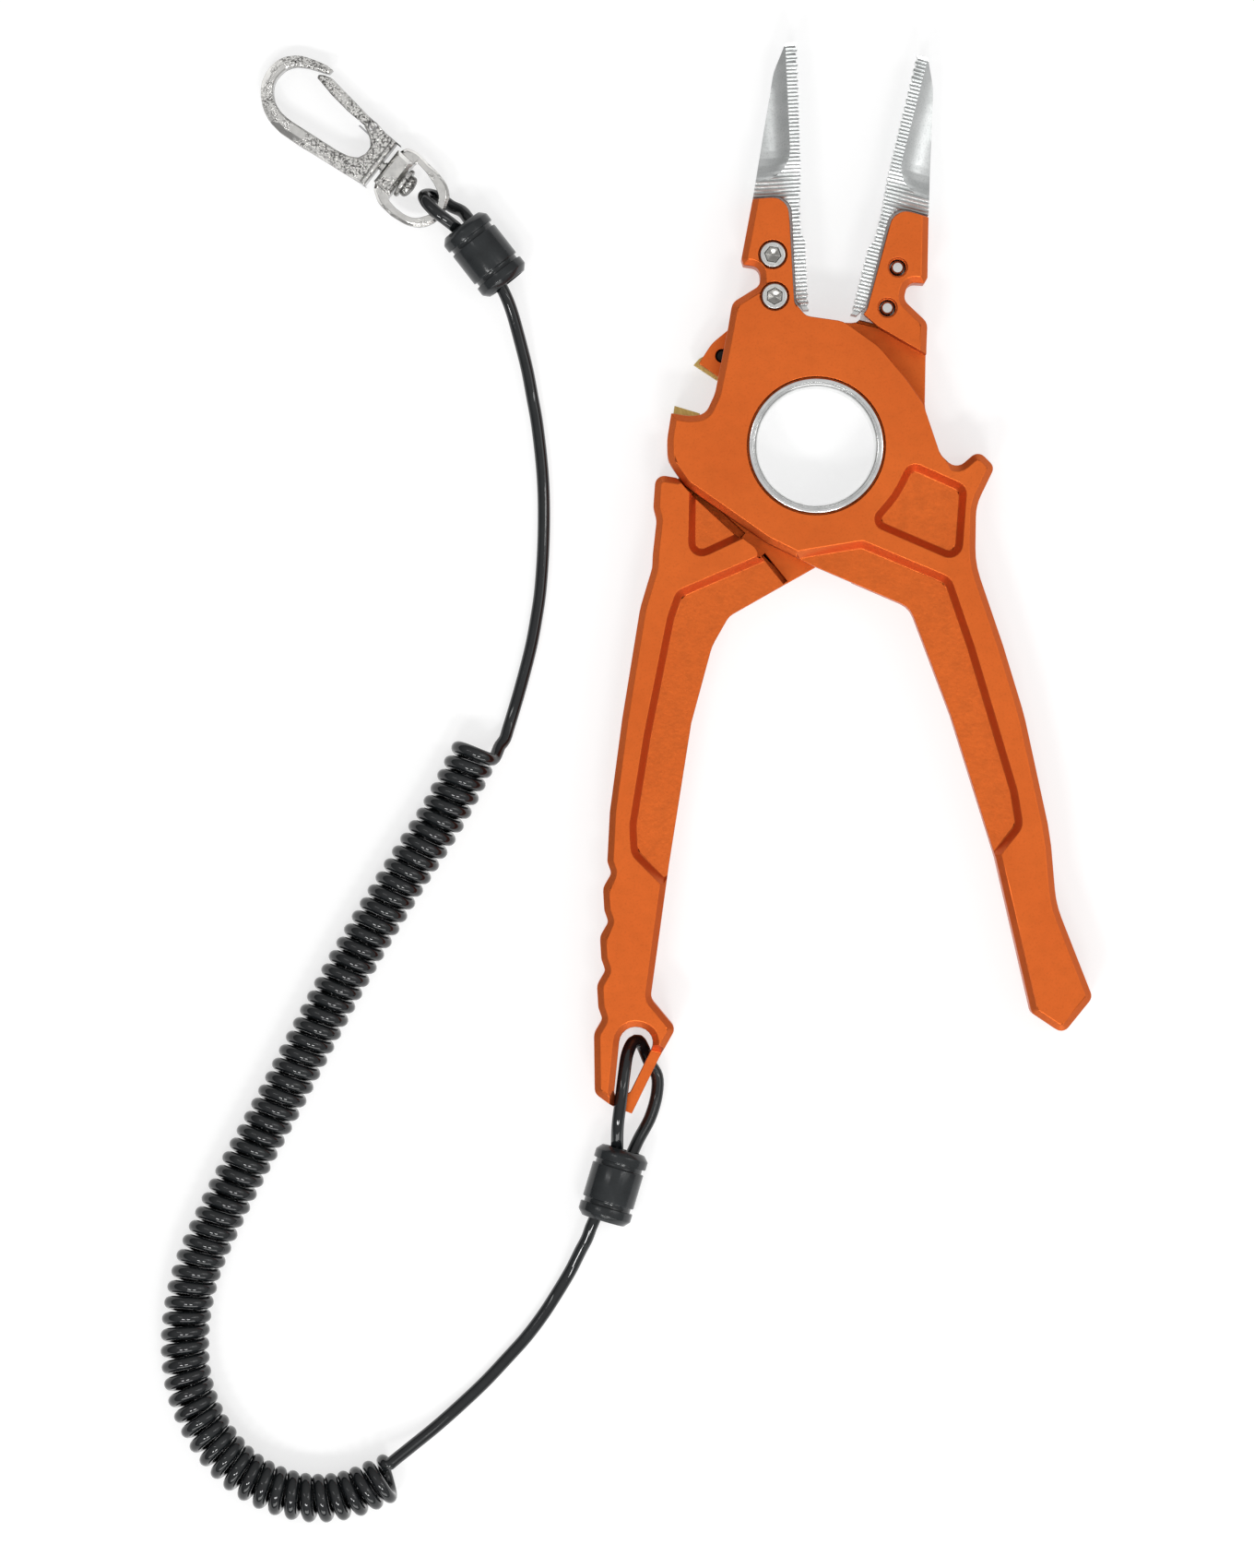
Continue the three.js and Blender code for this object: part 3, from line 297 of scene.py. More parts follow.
class Graph:
    """Short calls for building one material's nodes."""

    def __init__(self, mat):
        self.mat = mat
        self.nodes = mat.node_tree.nodes
        self.links = mat.node_tree.links
        self.bsdf = self.nodes["Principled BSDF"]
        self.coords = self.nodes.new("ShaderNodeTexCoord").outputs["Object"]

    def feed(self, socket, value):
        """Link a value to one of the shader's own sockets."""
        self.links.new(value, self.bsdf.inputs[socket])

    def put(self, target, value):
        if isinstance(value, bpy.types.NodeSocket):
            self.links.new(value, target)
        else:
            target.default_value = value

    def noise(self, scale, detail=3, roughness=0.55, vector=None):
        node = self.nodes.new("ShaderNodeTexNoise")
        node.inputs["Scale"].default_value = scale
        node.inputs["Detail"].default_value = detail
        node.inputs["Roughness"].default_value = roughness
        self.links.new(vector or self.coords, node.inputs["Vector"])
        return node.outputs["Fac"]

    def stretched(self, scale, turn):
        node = self.nodes.new("ShaderNodeMapping")
        node.vector_type = "TEXTURE"
        node.inputs["Scale"].default_value = scale
        node.inputs["Rotation"].default_value = (0, 0, math.radians(turn))
        self.links.new(self.coords, node.inputs["Vector"])
        return node.outputs["Vector"]

    def remap(self, value, low, high, to_low, to_high):
        node = self.nodes.new("ShaderNodeMapRange")
        node.inputs["From Min"].default_value = low
        node.inputs["From Max"].default_value = high
        self.put(node.inputs["To Min"], to_low)
        self.put(node.inputs["To Max"], to_high)
        self.links.new(value, node.inputs["Value"])
        return node.outputs["Result"]

    def math(self, operation, a, b=0.0):
        node = self.nodes.new("ShaderNodeMath")
        node.operation = operation
        self.put(node.inputs[0], a)
        self.put(node.inputs[1], b)
        return node.outputs[0]

    def mix(self, factor, a, b):
        """From colour a at 0 to colour b at 1; a colour is a socket or an RGB triple."""
        node = self.nodes.new("ShaderNodeMix")
        node.data_type = "RGBA"
        self.put(node.inputs["Factor"], factor)
        for index, color in ((6, a), (7, b)):
            self.put(node.inputs[index], (*color, 1) if isinstance(color, tuple) else color)
        return node.outputs[2]

    def spread(self, value, a, b):
        """Between two colours or numbers as a noise goes from its darker to its lighter parts."""
        if isinstance(a, tuple):
            return self.mix(self.remap(value, 0.3, 0.7, 0, 1), a, b)
        return self.remap(value, 0.3, 0.7, a, b)

    def bump(self, height, strength, distance, normal=None):
        node = self.nodes.new("ShaderNodeBump")
        node.inputs["Strength"].default_value = strength
        node.inputs["Distance"].default_value = distance
        self.links.new(height, node.inputs["Height"])
        if normal:
            self.links.new(normal, node.inputs["Normal"])
        return node.outputs["Normal"]

    def slope(self):
        """0 on level faces, 1 on upright ones, from the height of the face's normal."""
        node = self.nodes.new("ShaderNodeNewGeometry")
        level = self.math("ABSOLUTE", self.axis("Z", node.outputs["Normal"]))
        return self.remap(level, 0.97, 0.25, 0, 1)

    def axis(self, which, vector=None):
        node = self.nodes.new("ShaderNodeSeparateXYZ")
        self.links.new(vector or self.coords, node.inputs[0])
        return node.outputs[which]


FACE_LEVELS = (0.0105, 0.0102)  # metres; the handles' outer faces lie above these
FLOOR_LEVELS = (0.0093, 0.0097)  # and their pocket floors above these


def anodised(name):
    """Satin orange dye over milled aluminium; the pocket floors are coarser than the faces, and
    painted shade darkens the sloped walls and chamfers.
    """
    deep, light = (0.71, 0.136, 0.022), (0.78, 0.157, 0.026)
    speck_color, blotch_color = (0.52, 0.092, 0.016), (0.50, 0.105, 0.018)
    # painted shade: sloped walls and chamfers are darkened towards this colour
    wall_shade_color = (0.45, 0.098, 0.034)
    g = Graph(material(name, (0.78, 0.16, 0.03), 0.85, 0.42))
    cloud = g.noise(70, 4)
    blotch = g.noise(520, 4, 0.6)
    speck = g.noise(2600, 3, 0.7)
    level = g.axis("Z")
    below = g.remap(level, *FACE_LEVELS, 0, 1)
    above = g.remap(level, *FLOOR_LEVELS, 0, 1)
    floor_mask = g.math("MULTIPLY", below, above)
    base = g.spread(cloud, deep, light)
    base = g.mix(g.remap(speck, 0.52, 0.7, 0, 0.35), base, speck_color)
    mottled = g.mix(g.remap(blotch, 0.4, 0.66, 0, 0.45), base, blotch_color)
    color = g.mix(floor_mask, base, mottled)
    # painted shade on sloped faces, set by how upright their normals are
    g.feed("Base Color", g.mix(g.math("MULTIPLY", g.slope(), 0.7), color, wall_shade_color))
    g.feed("Roughness", g.spread(blotch, 0.37, 0.47))
    grain = g.bump(g.noise(5200, 2), 0.14, 0.00004)
    rough_floor = g.math("MULTIPLY", g.noise(1500, 4, 0.65), floor_mask)
    coarse = g.bump(rough_floor, 0.35, 0.0002, grain)
    g.feed("Normal", g.bump(blotch, 0.1, 0.00012, coarse))
    return g.mat


def milled_steel(name):
    """Satin steel with faint mill lines across the jaw and fine darker grain."""
    dark, light, grain_color = (0.64, 0.66, 0.655), (0.74, 0.755, 0.75), (0.42, 0.43, 0.425)
    g = Graph(material(name, (0.62, 0.64, 0.63), 1, 0.34))
    fine = g.noise(3800, 3, 0.6)
    streak = g.noise(1800, 3, 0.6, g.stretched((1, 7, 1), 3))
    color = g.spread(g.noise(300, 3), dark, light)
    g.feed("Base Color", g.mix(g.remap(fine, 0.5, 0.72, 0, 0.5), color, grain_color))
    g.feed("Roughness", g.spread(fine, 0.3, 0.42))
    ground = g.bump(streak, 0.08, 0.00004)
    g.feed("Normal", g.bump(fine, 0.08, 0.00004, ground))
    return g.mat


def bright_steel(name, color, roughness):
    g = Graph(material(name, color, 1, roughness))
    fine = g.noise(2600, 3, 0.6)
    tint = tuple(c * 0.86 for c in color)
    g.feed("Base Color", g.mix(g.remap(g.noise(500), 0.35, 0.7, 0, 1), color, tint))
    g.feed("Roughness", g.spread(fine, roughness * 0.8, roughness * 1.35))
    g.feed("Normal", g.bump(fine, 0.05, 0.00003))
    return g.mat


def cast_nickel(name):
    """Bright plating over a casting, pitted here and there, with painted shade down its sides."""
    bright, grey = (0.90, 0.89, 0.86), (0.70, 0.69, 0.67)
    # the second colour is painted shade, laid on the sloped sides
    pit_color, side_shade_color = (0.11, 0.105, 0.10), (0.10, 0.097, 0.093)
    g = Graph(material(name, (0.74, 0.73, 0.70), 1, 0.14))
    pits = g.remap(g.noise(2400, 3, 0.75), 0.42, 0.53, 0, 1)
    patch = g.remap(g.noise(150, 2), 0.46, 0.58, 0, 1)
    ripple = g.noise(420, 3)
    dark = g.math("MULTIPLY", g.math("SUBTRACT", 1.0, pits), patch)
    plated = g.mix(dark, g.spread(ripple, bright, grey), pit_color)
    # painted shade: sloped and upright faces darkened by their slope
    g.feed("Base Color", g.mix(g.remap(g.slope(), 0.35, 1, 0, 0.75), plated, side_shade_color))
    g.feed("Roughness", g.remap(patch, 0, 1, 0.1, 0.24))
    wavy = g.bump(ripple, 0.2, 0.0003)
    g.feed("Normal", g.bump(g.math("MULTIPLY", pits, patch), 0.5, 0.00012, wavy))
    return g.mat


def gold_coat(name):
    g = Graph(material(name, (0.62, 0.42, 0.13), 1, 0.3))
    lines = g.noise(2400, 3, 0.6, g.stretched((1, 6, 1), 20))
    g.feed("Base Color", g.spread(lines, (0.66, 0.45, 0.15), (0.52, 0.35, 0.11)))
    g.feed("Roughness", g.spread(lines, 0.24, 0.38))
    g.feed("Normal", g.bump(lines, 0.1, 0.00004))
    return g.mat


def cord_sleeve(name):
    """Glossy black sleeve, slightly wavy."""
    g = Graph(material(name, (0.006, 0.007, 0.008), 0, 0.08))
    soft = g.noise(240, 3)
    g.feed("Base Color", g.spread(soft, (0.004, 0.005, 0.006), (0.009, 0.011, 0.012)))
    g.feed("Roughness", g.spread(g.noise(2200, 2), 0.03, 0.08))
    g.bsdf.inputs["Specular IOR Level"].default_value = 0.5
    g.bsdf.inputs["Coat Weight"].default_value = 0.1
    g.bsdf.inputs["Coat Roughness"].default_value = 0.03
    g.feed("Normal", g.bump(soft, 0.12, 0.0002))
    return g.mat


def black_polymer(name):
    g = Graph(material(name, (0.018, 0.02, 0.023), 0, 0.34))
    fine = g.noise(3000, 3)
    g.feed("Base Color", g.spread(g.noise(350), (0.009, 0.011, 0.012), (0.018, 0.021, 0.023)))
    g.feed("Roughness", g.spread(fine, 0.14, 0.24))
    g.bsdf.inputs["Specular IOR Level"].default_value = 0.45
    g.feed("Normal", g.bump(fine, 0.05, 0.00003))
    return g.mat


def dull_polymer(name):
    g = Graph(material(name, (0.7, 0.7, 0.67), 0, 0.5))
    fine = g.noise(1500, 3)
    g.feed("Base Color", g.mix(fine, (0.62, 0.62, 0.59), (0.76, 0.76, 0.73)))
    g.feed("Normal", g.bump(fine, 0.1, 0.00005))
    return g.mat


ORANGE = anodised("anodised_orange")
JAW_STEEL = milled_steel("milled_jaw_steel")
SCREW_STEEL = bright_steel("screw_steel", (0.82, 0.82, 0.80), 0.22)
RING_STEEL = bright_steel("polished_ring_steel", (0.82, 0.825, 0.82), 0.17)
SPRING_STEEL = bright_steel("spring_steel", (0.52, 0.52, 0.53), 0.25)
# painted shade: a darker steel for the faces inside the screws' hexagon sockets
SOCKET_SHADE_STEEL = bright_steel("socket_shade_steel", (0.36, 0.35, 0.33), 0.24)
DARK_STEEL = bright_steel("blackened_steel", (0.03, 0.028, 0.026), 0.4)
NICKEL = cast_nickel("cast_nickel")
GOLD = gold_coat("gold_coating")
SLEEVE = cord_sleeve("cord_sleeve")
POLYMER = black_polymer("barrel_polymer")
WASHER = dull_polymer("washer_polymer")
cord.data.materials.append(SLEEVE)


def paint(obj, mat):
    obj.data.materials.clear()
    obj.data.materials.append(mat)
    return obj


nodes = frame["nodes"]


# ---------------------------------------------------------------- the two halves and the jaws
def add_edge(obj, width, limit):
    bevel = obj.modifiers.new("edge", "BEVEL")
    bevel.width = width * MM
    bevel.segments = 2
    bevel.limit_method = "ANGLE"
    bevel.angle_limit = math.radians(limit)
    bevel.use_clamp_overlap = False
    bevel.harden_normals = True


JOIN = 0.06  # corners nearer than this become one
FLAT = 0.6  # degrees; neighbours that differ less are one face
SOFT_EDGE = 32  # degrees; sharper edges stay sharp in the shading


def from_node(node, name, mat, edge=0.12, limit=18):
    """A copy of a CAD node with its flat faces joined and its edges slightly rounded.

    Edges sharper than the limit, in degrees, are bevelled to the edge width, in mm.
    """
    bm = bmesh.new()
    bm.from_mesh(nodes[node].data)
    bmesh.ops.remove_doubles(bm, verts=bm.verts, dist=JOIN * MM)
    bmesh.ops.dissolve_limit(
        bm, angle_limit=math.radians(FLAT), verts=bm.verts, edges=bm.edges,
        use_dissolve_boundaries=False,
    )
    ngons = [face for face in bm.faces if len(face.verts) > 4]
    bmesh.ops.triangulate(bm, faces=ngons, ngon_method="BEAUTY")
    bmesh.ops.recalc_face_normals(bm, faces=bm.faces)
    for face in bm.faces:
        face.smooth = True
    mesh = bpy.data.meshes.new(name)
    bm.to_mesh(mesh)
    bm.free()
    obj = smooth(link(name, mesh), SOFT_EDGE)
    if edge:
        add_edge(obj, edge, limit)
    paint(obj, mat)
    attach(obj, nodes[node]["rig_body"])
    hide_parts(node)
    return obj


for side in ("lower", "upper"):
    from_node(f"{side}_half", f"{side}_handle_half", ORANGE)
    from_node(f"{side}_cutter", f"{side}_cutter_blade", GOLD, 0.05)

RIDGE_STEP = 0.33  # from a ridge's crest to the next valley
RIDGE_DEPTH = 0.24
RIDGE_SPAN = (24.2, 69.6)  # along the jaw, from the pivot
NECK_END = 47  # ridges cross the whole jaw up to here
STRIP_WIDTH = 2.75  # and then only this wide a strip
JAW_TOP = 4.5  # above the middle level, before the taper
TAPER_START = 44
TAPER_SLOPE = 0.0768
LEVEL_TOLERANCE = 0.03  # mm
STEP_TOLERANCE = 0.02  # of a ridge step
JAW_JOIN = 2e-6  # metres
JAW_FLAT = 0.5  # degrees
JAW_SOFT_EDGE = 24


def ridged_jaw(side):
    """The jaw insert with its milled cross ridges cut into the gripping strip and the neck."""
    node = f"{side}_jaw"
    turn, sign = (-OPEN_HALF, 1) if side == "lower" else (OPEN_HALF, -1)
    to_row = on_pivot(THICKNESS / 2, turn)
    to_jaw = to_row.inverted()
    heading = to_row.to_3x3() @ Vector((0, 1, 0))
    bm = bmesh.new()
    bm.from_mesh(nodes[node].data)
    bmesh.ops.remove_doubles(bm, verts=bm.verts, dist=JAW_JOIN)
    bmesh.ops.dissolve_limit(
        bm, angle_limit=math.radians(JAW_FLAT), verts=bm.verts, edges=bm.edges
    )
    steps = int((RIDGE_SPAN[1] - RIDGE_SPAN[0]) / RIDGE_STEP)
    for k in range(steps + 1):
        place = to_row @ Vector((0, RIDGE_SPAN[0] + k * RIDGE_STEP, 0)) * MM
        geom = bm.verts[:] + bm.edges[:] + bm.faces[:]
        bmesh.ops.bisect_plane(bm, geom=geom, dist=SAME_PLACE, plane_co=place, plane_no=heading)
    for vert in bm.verts:
        p = to_jaw @ (vert.co / MM)
        step = (p.y - RIDGE_SPAN[0]) / RIDGE_STEP
        level = JAW_TOP - max(0, p.y - TAPER_START) * TAPER_SLOPE
        on_face = abs(abs(p.z) - level) < LEVEL_TOLERANCE
        on_valley = abs(step - round(step)) < STEP_TOLERANCE and round(step) % 2 == 1
        in_zone = p.x * sign < STRIP_WIDTH or p.y < NECK_END
        if on_face and on_valley and in_zone and 0 <= step <= steps:
            vert.co.z -= math.copysign(RIDGE_DEPTH * MM, p.z)
    mesh = bpy.data.meshes.new(f"{side}_jaw_insert")
    bm.to_mesh(mesh)
    bm.free()
    obj = smooth(link(f"{side}_jaw_insert", mesh), JAW_SOFT_EDGE)
    paint(obj, JAW_STEEL)
    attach(obj, f"{side}_body")
    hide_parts(node)


for side in ("lower", "upper"):
    ridged_jaw(side)


def stands_for(obj, node, mat):
    """Put a turned piece in the place of a CAD node."""
    paint(obj, mat)
    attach(obj, nodes[node]["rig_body"])
    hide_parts(node)


# ---------------------------------------------------------------- screws
SCREW_PLACES = ((6.05, 33.35), (6.05, 26.15))  # from the pivot, in the half's own frame
SCREW_TURN = 37  # degrees from one screw's hexagon to the next
UPPER_TURN = 11  # and more for the upper half's screws
HEX_APOTHEM = 1.2
HEX_CHAMFER = 0.13
SOCKET_REACH = 1.46  # faces nearer the screw's axis than this belong to its socket
SOCKET_LEVEL = 10.3  # and lie above this
SHANK_RADIUS = 1.12
THREAD_SPAN = (1.3, 6.2)
THREAD_PITCH = 0.45
THREAD_DEPTH = 0.11
SHANK_START = 3  # rings before the thread
SCREW_SEGMENTS = 48


def hexagon(apothem):
    sixth = math.pi / 3
    return lambda turn: apothem / math.cos(turn % sixth - sixth / 2)


SCREW_RINGS = [
    (0, 0.9), (0.82, 0.9), (SHANK_RADIUS, 1.25), (SHANK_RADIUS, 9.85), (2.15, 9.85),
    (2.23, 9.95), (2.23, 11.52), (2.2, 11.68), (2.12, 11.79), (2, 11.85), (1.8, 11.85),
    (1.77, 11.8), (1.7, 11.8), (1.67, 11.85), (hexagon(HEX_APOTHEM + HEX_CHAMFER), 11.85),
    (hexagon(HEX_APOTHEM), 11.68), (hexagon(HEX_APOTHEM), 10.8),
    (hexagon(HEX_APOTHEM * 0.72), 10.74), (0.4, 10.5), (0, 10.4),
]


def threaded(rings):
    """The screw's rings with a thread's crests and valleys put in along part of the shank."""
    low, high = THREAD_SPAN
    teeth = []
    for k in range(int((high - low) / THREAD_PITCH)):
        z = low + k * THREAD_PITCH
        teeth += [(SHANK_RADIUS, z), (SHANK_RADIUS - THREAD_DEPTH, z + THREAD_PITCH / 2)]
    return rings[:SHANK_START] + teeth + rings[SHANK_START:]


def hexagon_socket(screw, place):
    """Give the faces of the screw's socket a darker steel, painted shade for the recess."""
    screw.data.materials.append(SOCKET_SHADE_STEEL)
    to_screw = place.inverted()
    for face in screw.data.polygons:
        spot = to_screw @ (face.center / MM)
        if math.hypot(spot.x, spot.y) < SOCKET_REACH and spot.z > SOCKET_LEVEL:
            face.material_index = 1


UPSIDE_DOWN = Matrix.Translation((0, 0, THICKNESS)) @ Matrix.Scale(-1, 4, (0, 0, 1))

for side in ("lower", "upper"):
    for number, (x, y) in enumerate(SCREW_PLACES, 1):
        up = side == "upper"
        base = on_pivot(0, OPEN_HALF if up else -OPEN_HALF)
        local = Matrix.Translation((-x if up else x, y, 0))
        turn = turn_about_z(SCREW_TURN * number + (UPPER_TURN if up else 0))
        place = base @ local @ turn @ (Matrix.Identity(4) if up else UPSIDE_DOWN)
        screw = turned(
            f"{side}_screw_{number}", threaded(SCREW_RINGS), SCREW_SEGMENTS, place, angle=24
        )
        stands_for(screw, f"{side}_jaw_screw_{number}", SCREW_STEEL)
        hexagon_socket(screw, place)

# ---------------------------------------------------------------- pivot
PIVOT_TUBE = [
    (10.2, 0.35), (10.72, 0.35), (10.75, 1.9), (11.1, 1.95), (11.1, 10.45), (11.6, 10.45),
    (11.68, 10.52), (11.68, 11.6), (11.62, 11.76), (11.5, 11.84), (11.3, 11.85), (11.04, 11.83),
    (10.99, 11.7), (10.96, 11.5), (10.84, 11.48), (10.8, 11.66), (10.76, 11.74), (10.66, 11.76),
    (10.56, 11.7), (10.3, 11.2), (10.23, 11.05), (10.2, 10.85),
]
PIVOT_RING = [
    (10.88, 0.3), (10.95, 0.2), (11.1, 0.15), (11.5, 0.16), (11.62, 0.22), (11.68, 0.36),
    (11.68, 1.45), (11.6, 1.52), (10.95, 1.52), (10.88, 1.45),
]
PIVOT_SEGMENTS = 144
for node, name, rings in (
    ("pivot_tube", "pivot_sleeve", PIVOT_TUBE), ("pivot_ring", "pivot_retainer", PIVOT_RING),
):
    piece = turned(name, rings, PIVOT_SEGMENTS, on_pivot(), angle=40)
    stands_for(piece, node, RING_STEEL)

# ---------------------------------------------------------------- lanyard barrels
BARREL_RINGS = [
    (3.3, -6.35), (3.42, -6.4), (3.72, -6.4), (3.82, -6.34), (4.6, -5.5), (4.66, -5.38),
    (4.68, -5.2), (4.68, -4.15), (4.64, -4), (4.54, -3.93), (4.16, -3.92), (4.12, -3.85),
    (4.12, -3.18), (4.16, -3.12), (4.46, -3.1), (4.54, -3.04), (4.58, -2.9), (4.58, 2.9),
    (4.54, 3.04), (4.46, 3.1), (4.16, 3.12), (4.12, 3.18), (4.12, 3.85), (4.16, 3.92),
    (4.54, 3.93), (4.64, 4), (4.68, 4.15), (4.68, 5.2), (4.66, 5.38), (4.6, 5.5),
    (3.82, 6.34), (3.72, 6.4), (3.42, 6.4), (3.3, 6.35),
]
BARREL_LEVEL = 4.65
BARREL_SEGMENTS = 72
BARRELS = {  # each barrel's end nearer the loop and its other end, from the pivot
    "handle": ((-20.64, -124.72), (-23, -137.28)),
    "clip": ((-65, 31.95), (-56.14, 22.71)),
}
for side, (start, end) in BARRELS.items():
    a = PIVOT + Vector((*start, BARREL_LEVEL))
    b = PIVOT + Vector((*end, BARREL_LEVEL))
    aim = (b - a).to_track_quat("Z", "Y").to_matrix().to_4x4()
    place = Matrix.Translation((a + b) / 2) @ aim
    barrel = turned(f"lanyard_barrel_{side}", BARREL_RINGS, BARREL_SEGMENTS, place, angle=40)
    stands_for(barrel, f"cord_barrel_{side}", POLYMER)

# ---------------------------------------------------------------- swivel clip
SWIVEL_PLACE = Vector((-78.58, 40, 3.62))
SWIVEL_TURN = 148.5  # degrees, the clip's direction on the floor
SWIVEL_TILT = 3.6  # degrees, its nose lower than its swivel
SWIVEL = (  # X runs along the clip, from the swivel post to the nose
    Matrix.Translation(PIVOT + SWIVEL_PLACE)
    @ turn_about_z(SWIVEL_TURN)
    @ Matrix.Rotation(math.radians(SWIVEL_TILT), 4, "Y")
)
POST_RINGS = [
    (0, -5.3), (0.5, -5.28), (1.15, -5.16), (1.6, -4.98), (1.9, -4.72), (2.02, -4.4), (2, -4.1),
    (1.85, -3.85), (1.8, -3.75), (2.6, -3.75), (2.74, -3.66), (2.78, -3.42), (2.74, -3.16),
    (2.6, -3.06), (1.1, -3.05), (1.1, 1.25), (0.8, 1.3), (0.8, 4), (0, 4),
]
CLIP_SIDE = [
    (1.8, 4.55), (6.5, 5.05), (15.9, 5.95), (19.1, 6.15), (21.7, 5.75), (23.9, 4.75), (26.1, 2.75),
    (27.2, 0.85), (27.6, -1.45), (27.2, -3.95), (26, -5.55), (24.3, -6.85), (21.9, -7.65),
    (19.8, -8.1), (18.4, -8.1),
]
CLIP_HALF = 1.7  # half the frame's height
CHAMFER_BAND = (0.33, 0.02)  # how far below and above that height its edge's corners lie
UPPER_BAND = 0.1  # the chamfer's upper corners lie this near it
FLANK_WIDTH = 0.85  # bevel along the frame's outer side, beyond the edge's own chamfer
FLANK_DROP = 0.75
FLANK_START = 3  # along the clip
START_FADE = 1.5
HOOK_SIDE = -4  # across the clip; beyond it the bevel fades towards the hook's nose
HOOK_START = 18.6
HOOK_FADE = 2.5
SIDE_REACH = 0.6  # corners nearer than this to the outer side belong to it


def nearest_side(line, spot):
    """The distance from a spot to a polyline, and the direction of its nearest side."""
    best = None
    for a, b in zip(line, line[1:]):
        along = b - a
        share = min(1, max(0, (spot - a).dot(along) / along.dot(along)))
        gap = np.linalg.norm(a + share * along - spot)
        if best is None or gap < best[0]:
            best = (gap, along / np.linalg.norm(along))
    return best


def flank_clip():
    """The clip's frame with the wide bevel along its outer side."""
    obj = from_node("clip_frame", "clip_body_frame", NICKEL, edge=0)
    inverse = SWIVEL.inverted()
    line = [np.array(p, float) for p in CLIP_SIDE]
    for vert in obj.data.vertices:
        p = inverse @ (vert.co / MM)
        inside = CLIP_HALF - CHAMFER_BAND[0] <= abs(p.z) <= CLIP_HALF + CHAMFER_BAND[1]
        if not inside or p.x < FLANK_START:
            continue
        gap, along = nearest_side(line, np.array((p.x, p.y)))
        if gap > SIDE_REACH:
            continue
        if p.y < HOOK_SIDE:
            fade = min(1, max(0, (p.x - HOOK_START) / HOOK_FADE))
        else:
            fade = min(1, (p.x - FLANK_START) / START_FADE)
        if abs(p.z) > CLIP_HALF - UPPER_BAND:
            p.x += along[1] * FLANK_WIDTH * fade
            p.y -= along[0] * FLANK_WIDTH * fade
        else:
            p.z -= math.copysign(FLANK_DROP * fade, p.z)
        vert.co = (SWIVEL @ p) * MM
    add_edge(obj, width=0.12, limit=14)
    smooth(obj, 30)


flank_clip()
from_node("swivel_bow", "swivel_ring", NICKEL, edge=0.1, limit=30)
from_node("clip_gate", "clip_gate_arm", NICKEL, edge=0.14, limit=14)
POST_SEGMENTS = 48
post_place = SWIVEL @ Matrix.Rotation(math.pi / 2, 4, "Y")
post = turned("swivel_rivet", POST_RINGS, POST_SEGMENTS, post_place, angle=34)
stands_for(post, "swivel_post", NICKEL)

# ---------------------------------------------------------------- kept CAD nodes
KEPT = {
    "lower_cutter_screw": DARK_STEEL, "upper_cutter_screw": DARK_STEEL,
    "torsion_spring": SPRING_STEEL, "gate_spring": SPRING_STEEL, "lap_washer": WASHER,
    "cord_ferrule_handle": SCREW_STEEL, "cord_ferrule_clip": SCREW_STEEL, "gate_pin": NICKEL,
}
for node, mat in KEPT.items():
    paint(nodes[node], mat)

# Pieces that hang on the cord and move with it.
with_cord = [o for o in bpy.data.objects if o.name in (
    "lanyard_barrel_handle", "lanyard_barrel_clip", "clip_body_frame", "swivel_ring",
    "clip_gate_arm", "swivel_rivet",
)]
with_cord += [
    nodes[n] for n in ("cord_ferrule_handle", "cord_ferrule_clip", "gate_pin", "gate_spring")
]

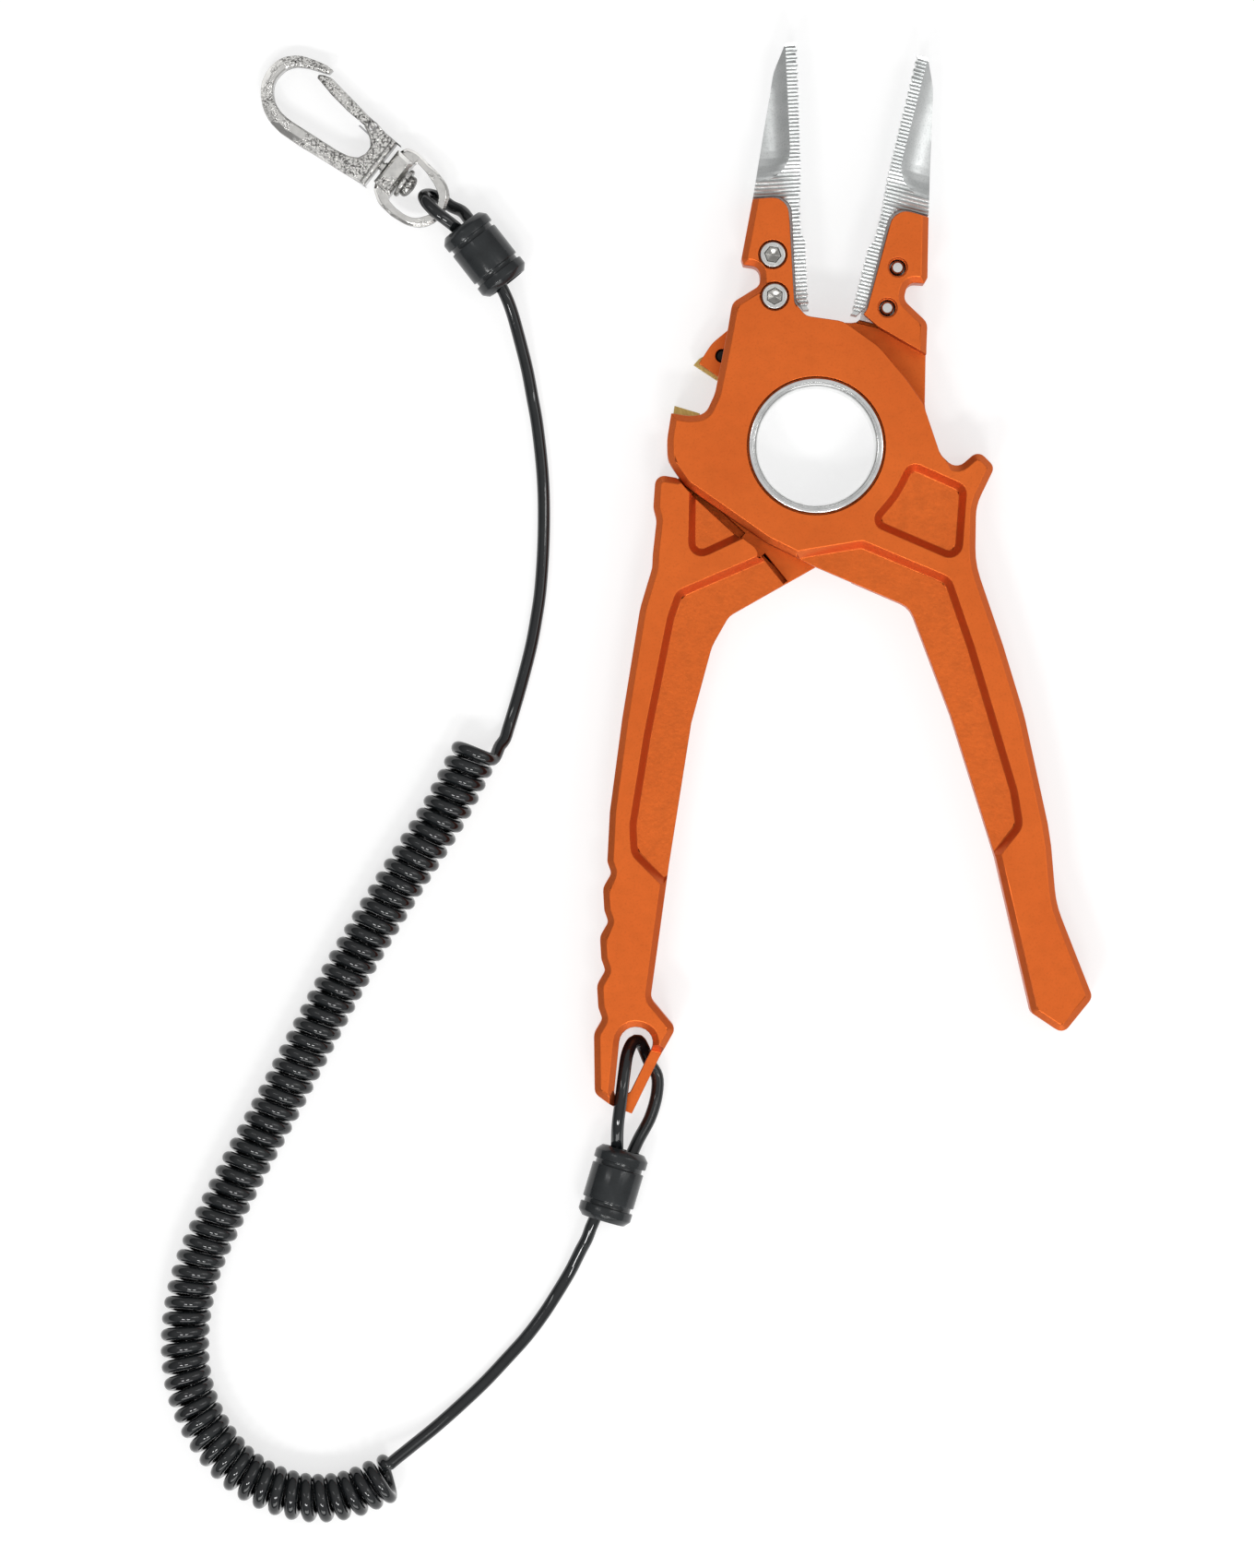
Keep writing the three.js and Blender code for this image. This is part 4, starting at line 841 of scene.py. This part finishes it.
# ---------------------------------------------------------------- floor and lights
FLOOR_HALF = 4000
FLOOR_DROP = 0.00002  # metres below the part
corners = [(x * FLOOR_HALF, y * FLOOR_HALF, 0) for x, y in ((-1, -1), (1, -1), (1, 1), (-1, 1))]
floor = from_arrays("floor", corners, [(0, 1, 2, 3)])
floor.location.z = -FLOOR_DROP
floor_material = material("floor", (0.42, 0.42, 0.42), 0, 0.9)
floor_glow = floor_material.node_tree.nodes["Principled BSDF"].inputs
floor_glow["Emission Color"].default_value = (1, 1, 1, 1)
floor_glow["Emission Strength"].default_value = 0.64
paint(floor, floor_material)

WORLD_LOW, WORLD_HIGH = 0.29, 0.7  # brightness at the horizon and overhead
WORLD_SIDE = 0.1  # brighter towards +X, darker towards -X
world = bpy.data.worlds.new("studio")
world.use_nodes = True
world_nodes, world_links = world.node_tree.nodes, world.node_tree.links
direction = world_nodes.new("ShaderNodeTexCoord").outputs["Generated"]
split = world_nodes.new("ShaderNodeSeparateXYZ")
world_links.new(direction, split.inputs[0])
rise = world_nodes.new("ShaderNodeMapRange")
rise.inputs["To Min"].default_value = WORLD_LOW
rise.inputs["To Max"].default_value = WORLD_HIGH
world_links.new(split.outputs["Z"], rise.inputs["Value"])
lean = world_nodes.new("ShaderNodeMath")
lean.operation = "MULTIPLY_ADD"
lean.inputs[1].default_value = WORLD_SIDE
world_links.new(split.outputs["X"], lean.inputs[0])
world_links.new(rise.outputs["Result"], lean.inputs[2])
world_links.new(lean.outputs[0], world_nodes["Background"].inputs["Strength"])
world_nodes["Background"].inputs["Color"].default_value = (1, 1, 1, 1)
bpy.context.scene.world = world
bpy.context.scene.view_settings.view_transform = "Standard"


def softbox(name, place, size, power):
    """A rectangular lamp at a place in metres, aimed at the middle of the view."""
    data = bpy.data.lights.new(name, "AREA")
    data.shape = "RECTANGLE"
    data.size, data.size_y = size
    data.energy = power
    lamp = bpy.data.objects.new(name, data)
    bpy.context.scene.collection.objects.link(lamp)
    lamp.location = Vector(place)
    lamp.rotation_euler = (LOOK_AT * MM - lamp.location).to_track_quat("-Z", "Y").to_euler()


softbox("key", (1.6, 0.35, 1.6), (1.1, 1.1), 3.2)
softbox("front", (0.2, -1.7, 0.6), (1.6, 0.5), 8)
softbox("panel_right", (1.13, 0.2, 1.87), (0.1, 0.9), 1.5)
softbox("panel_left", (-1.2, 0.3, 1.87), (0.12, 0.9), 1.6)
softbox("low_right", (0.38, -1.35, 1.9), (0.5, 0.26), 10)
softbox("low_left", (-0.5, -1.35, 1.9), (0.5, 0.26), 10)
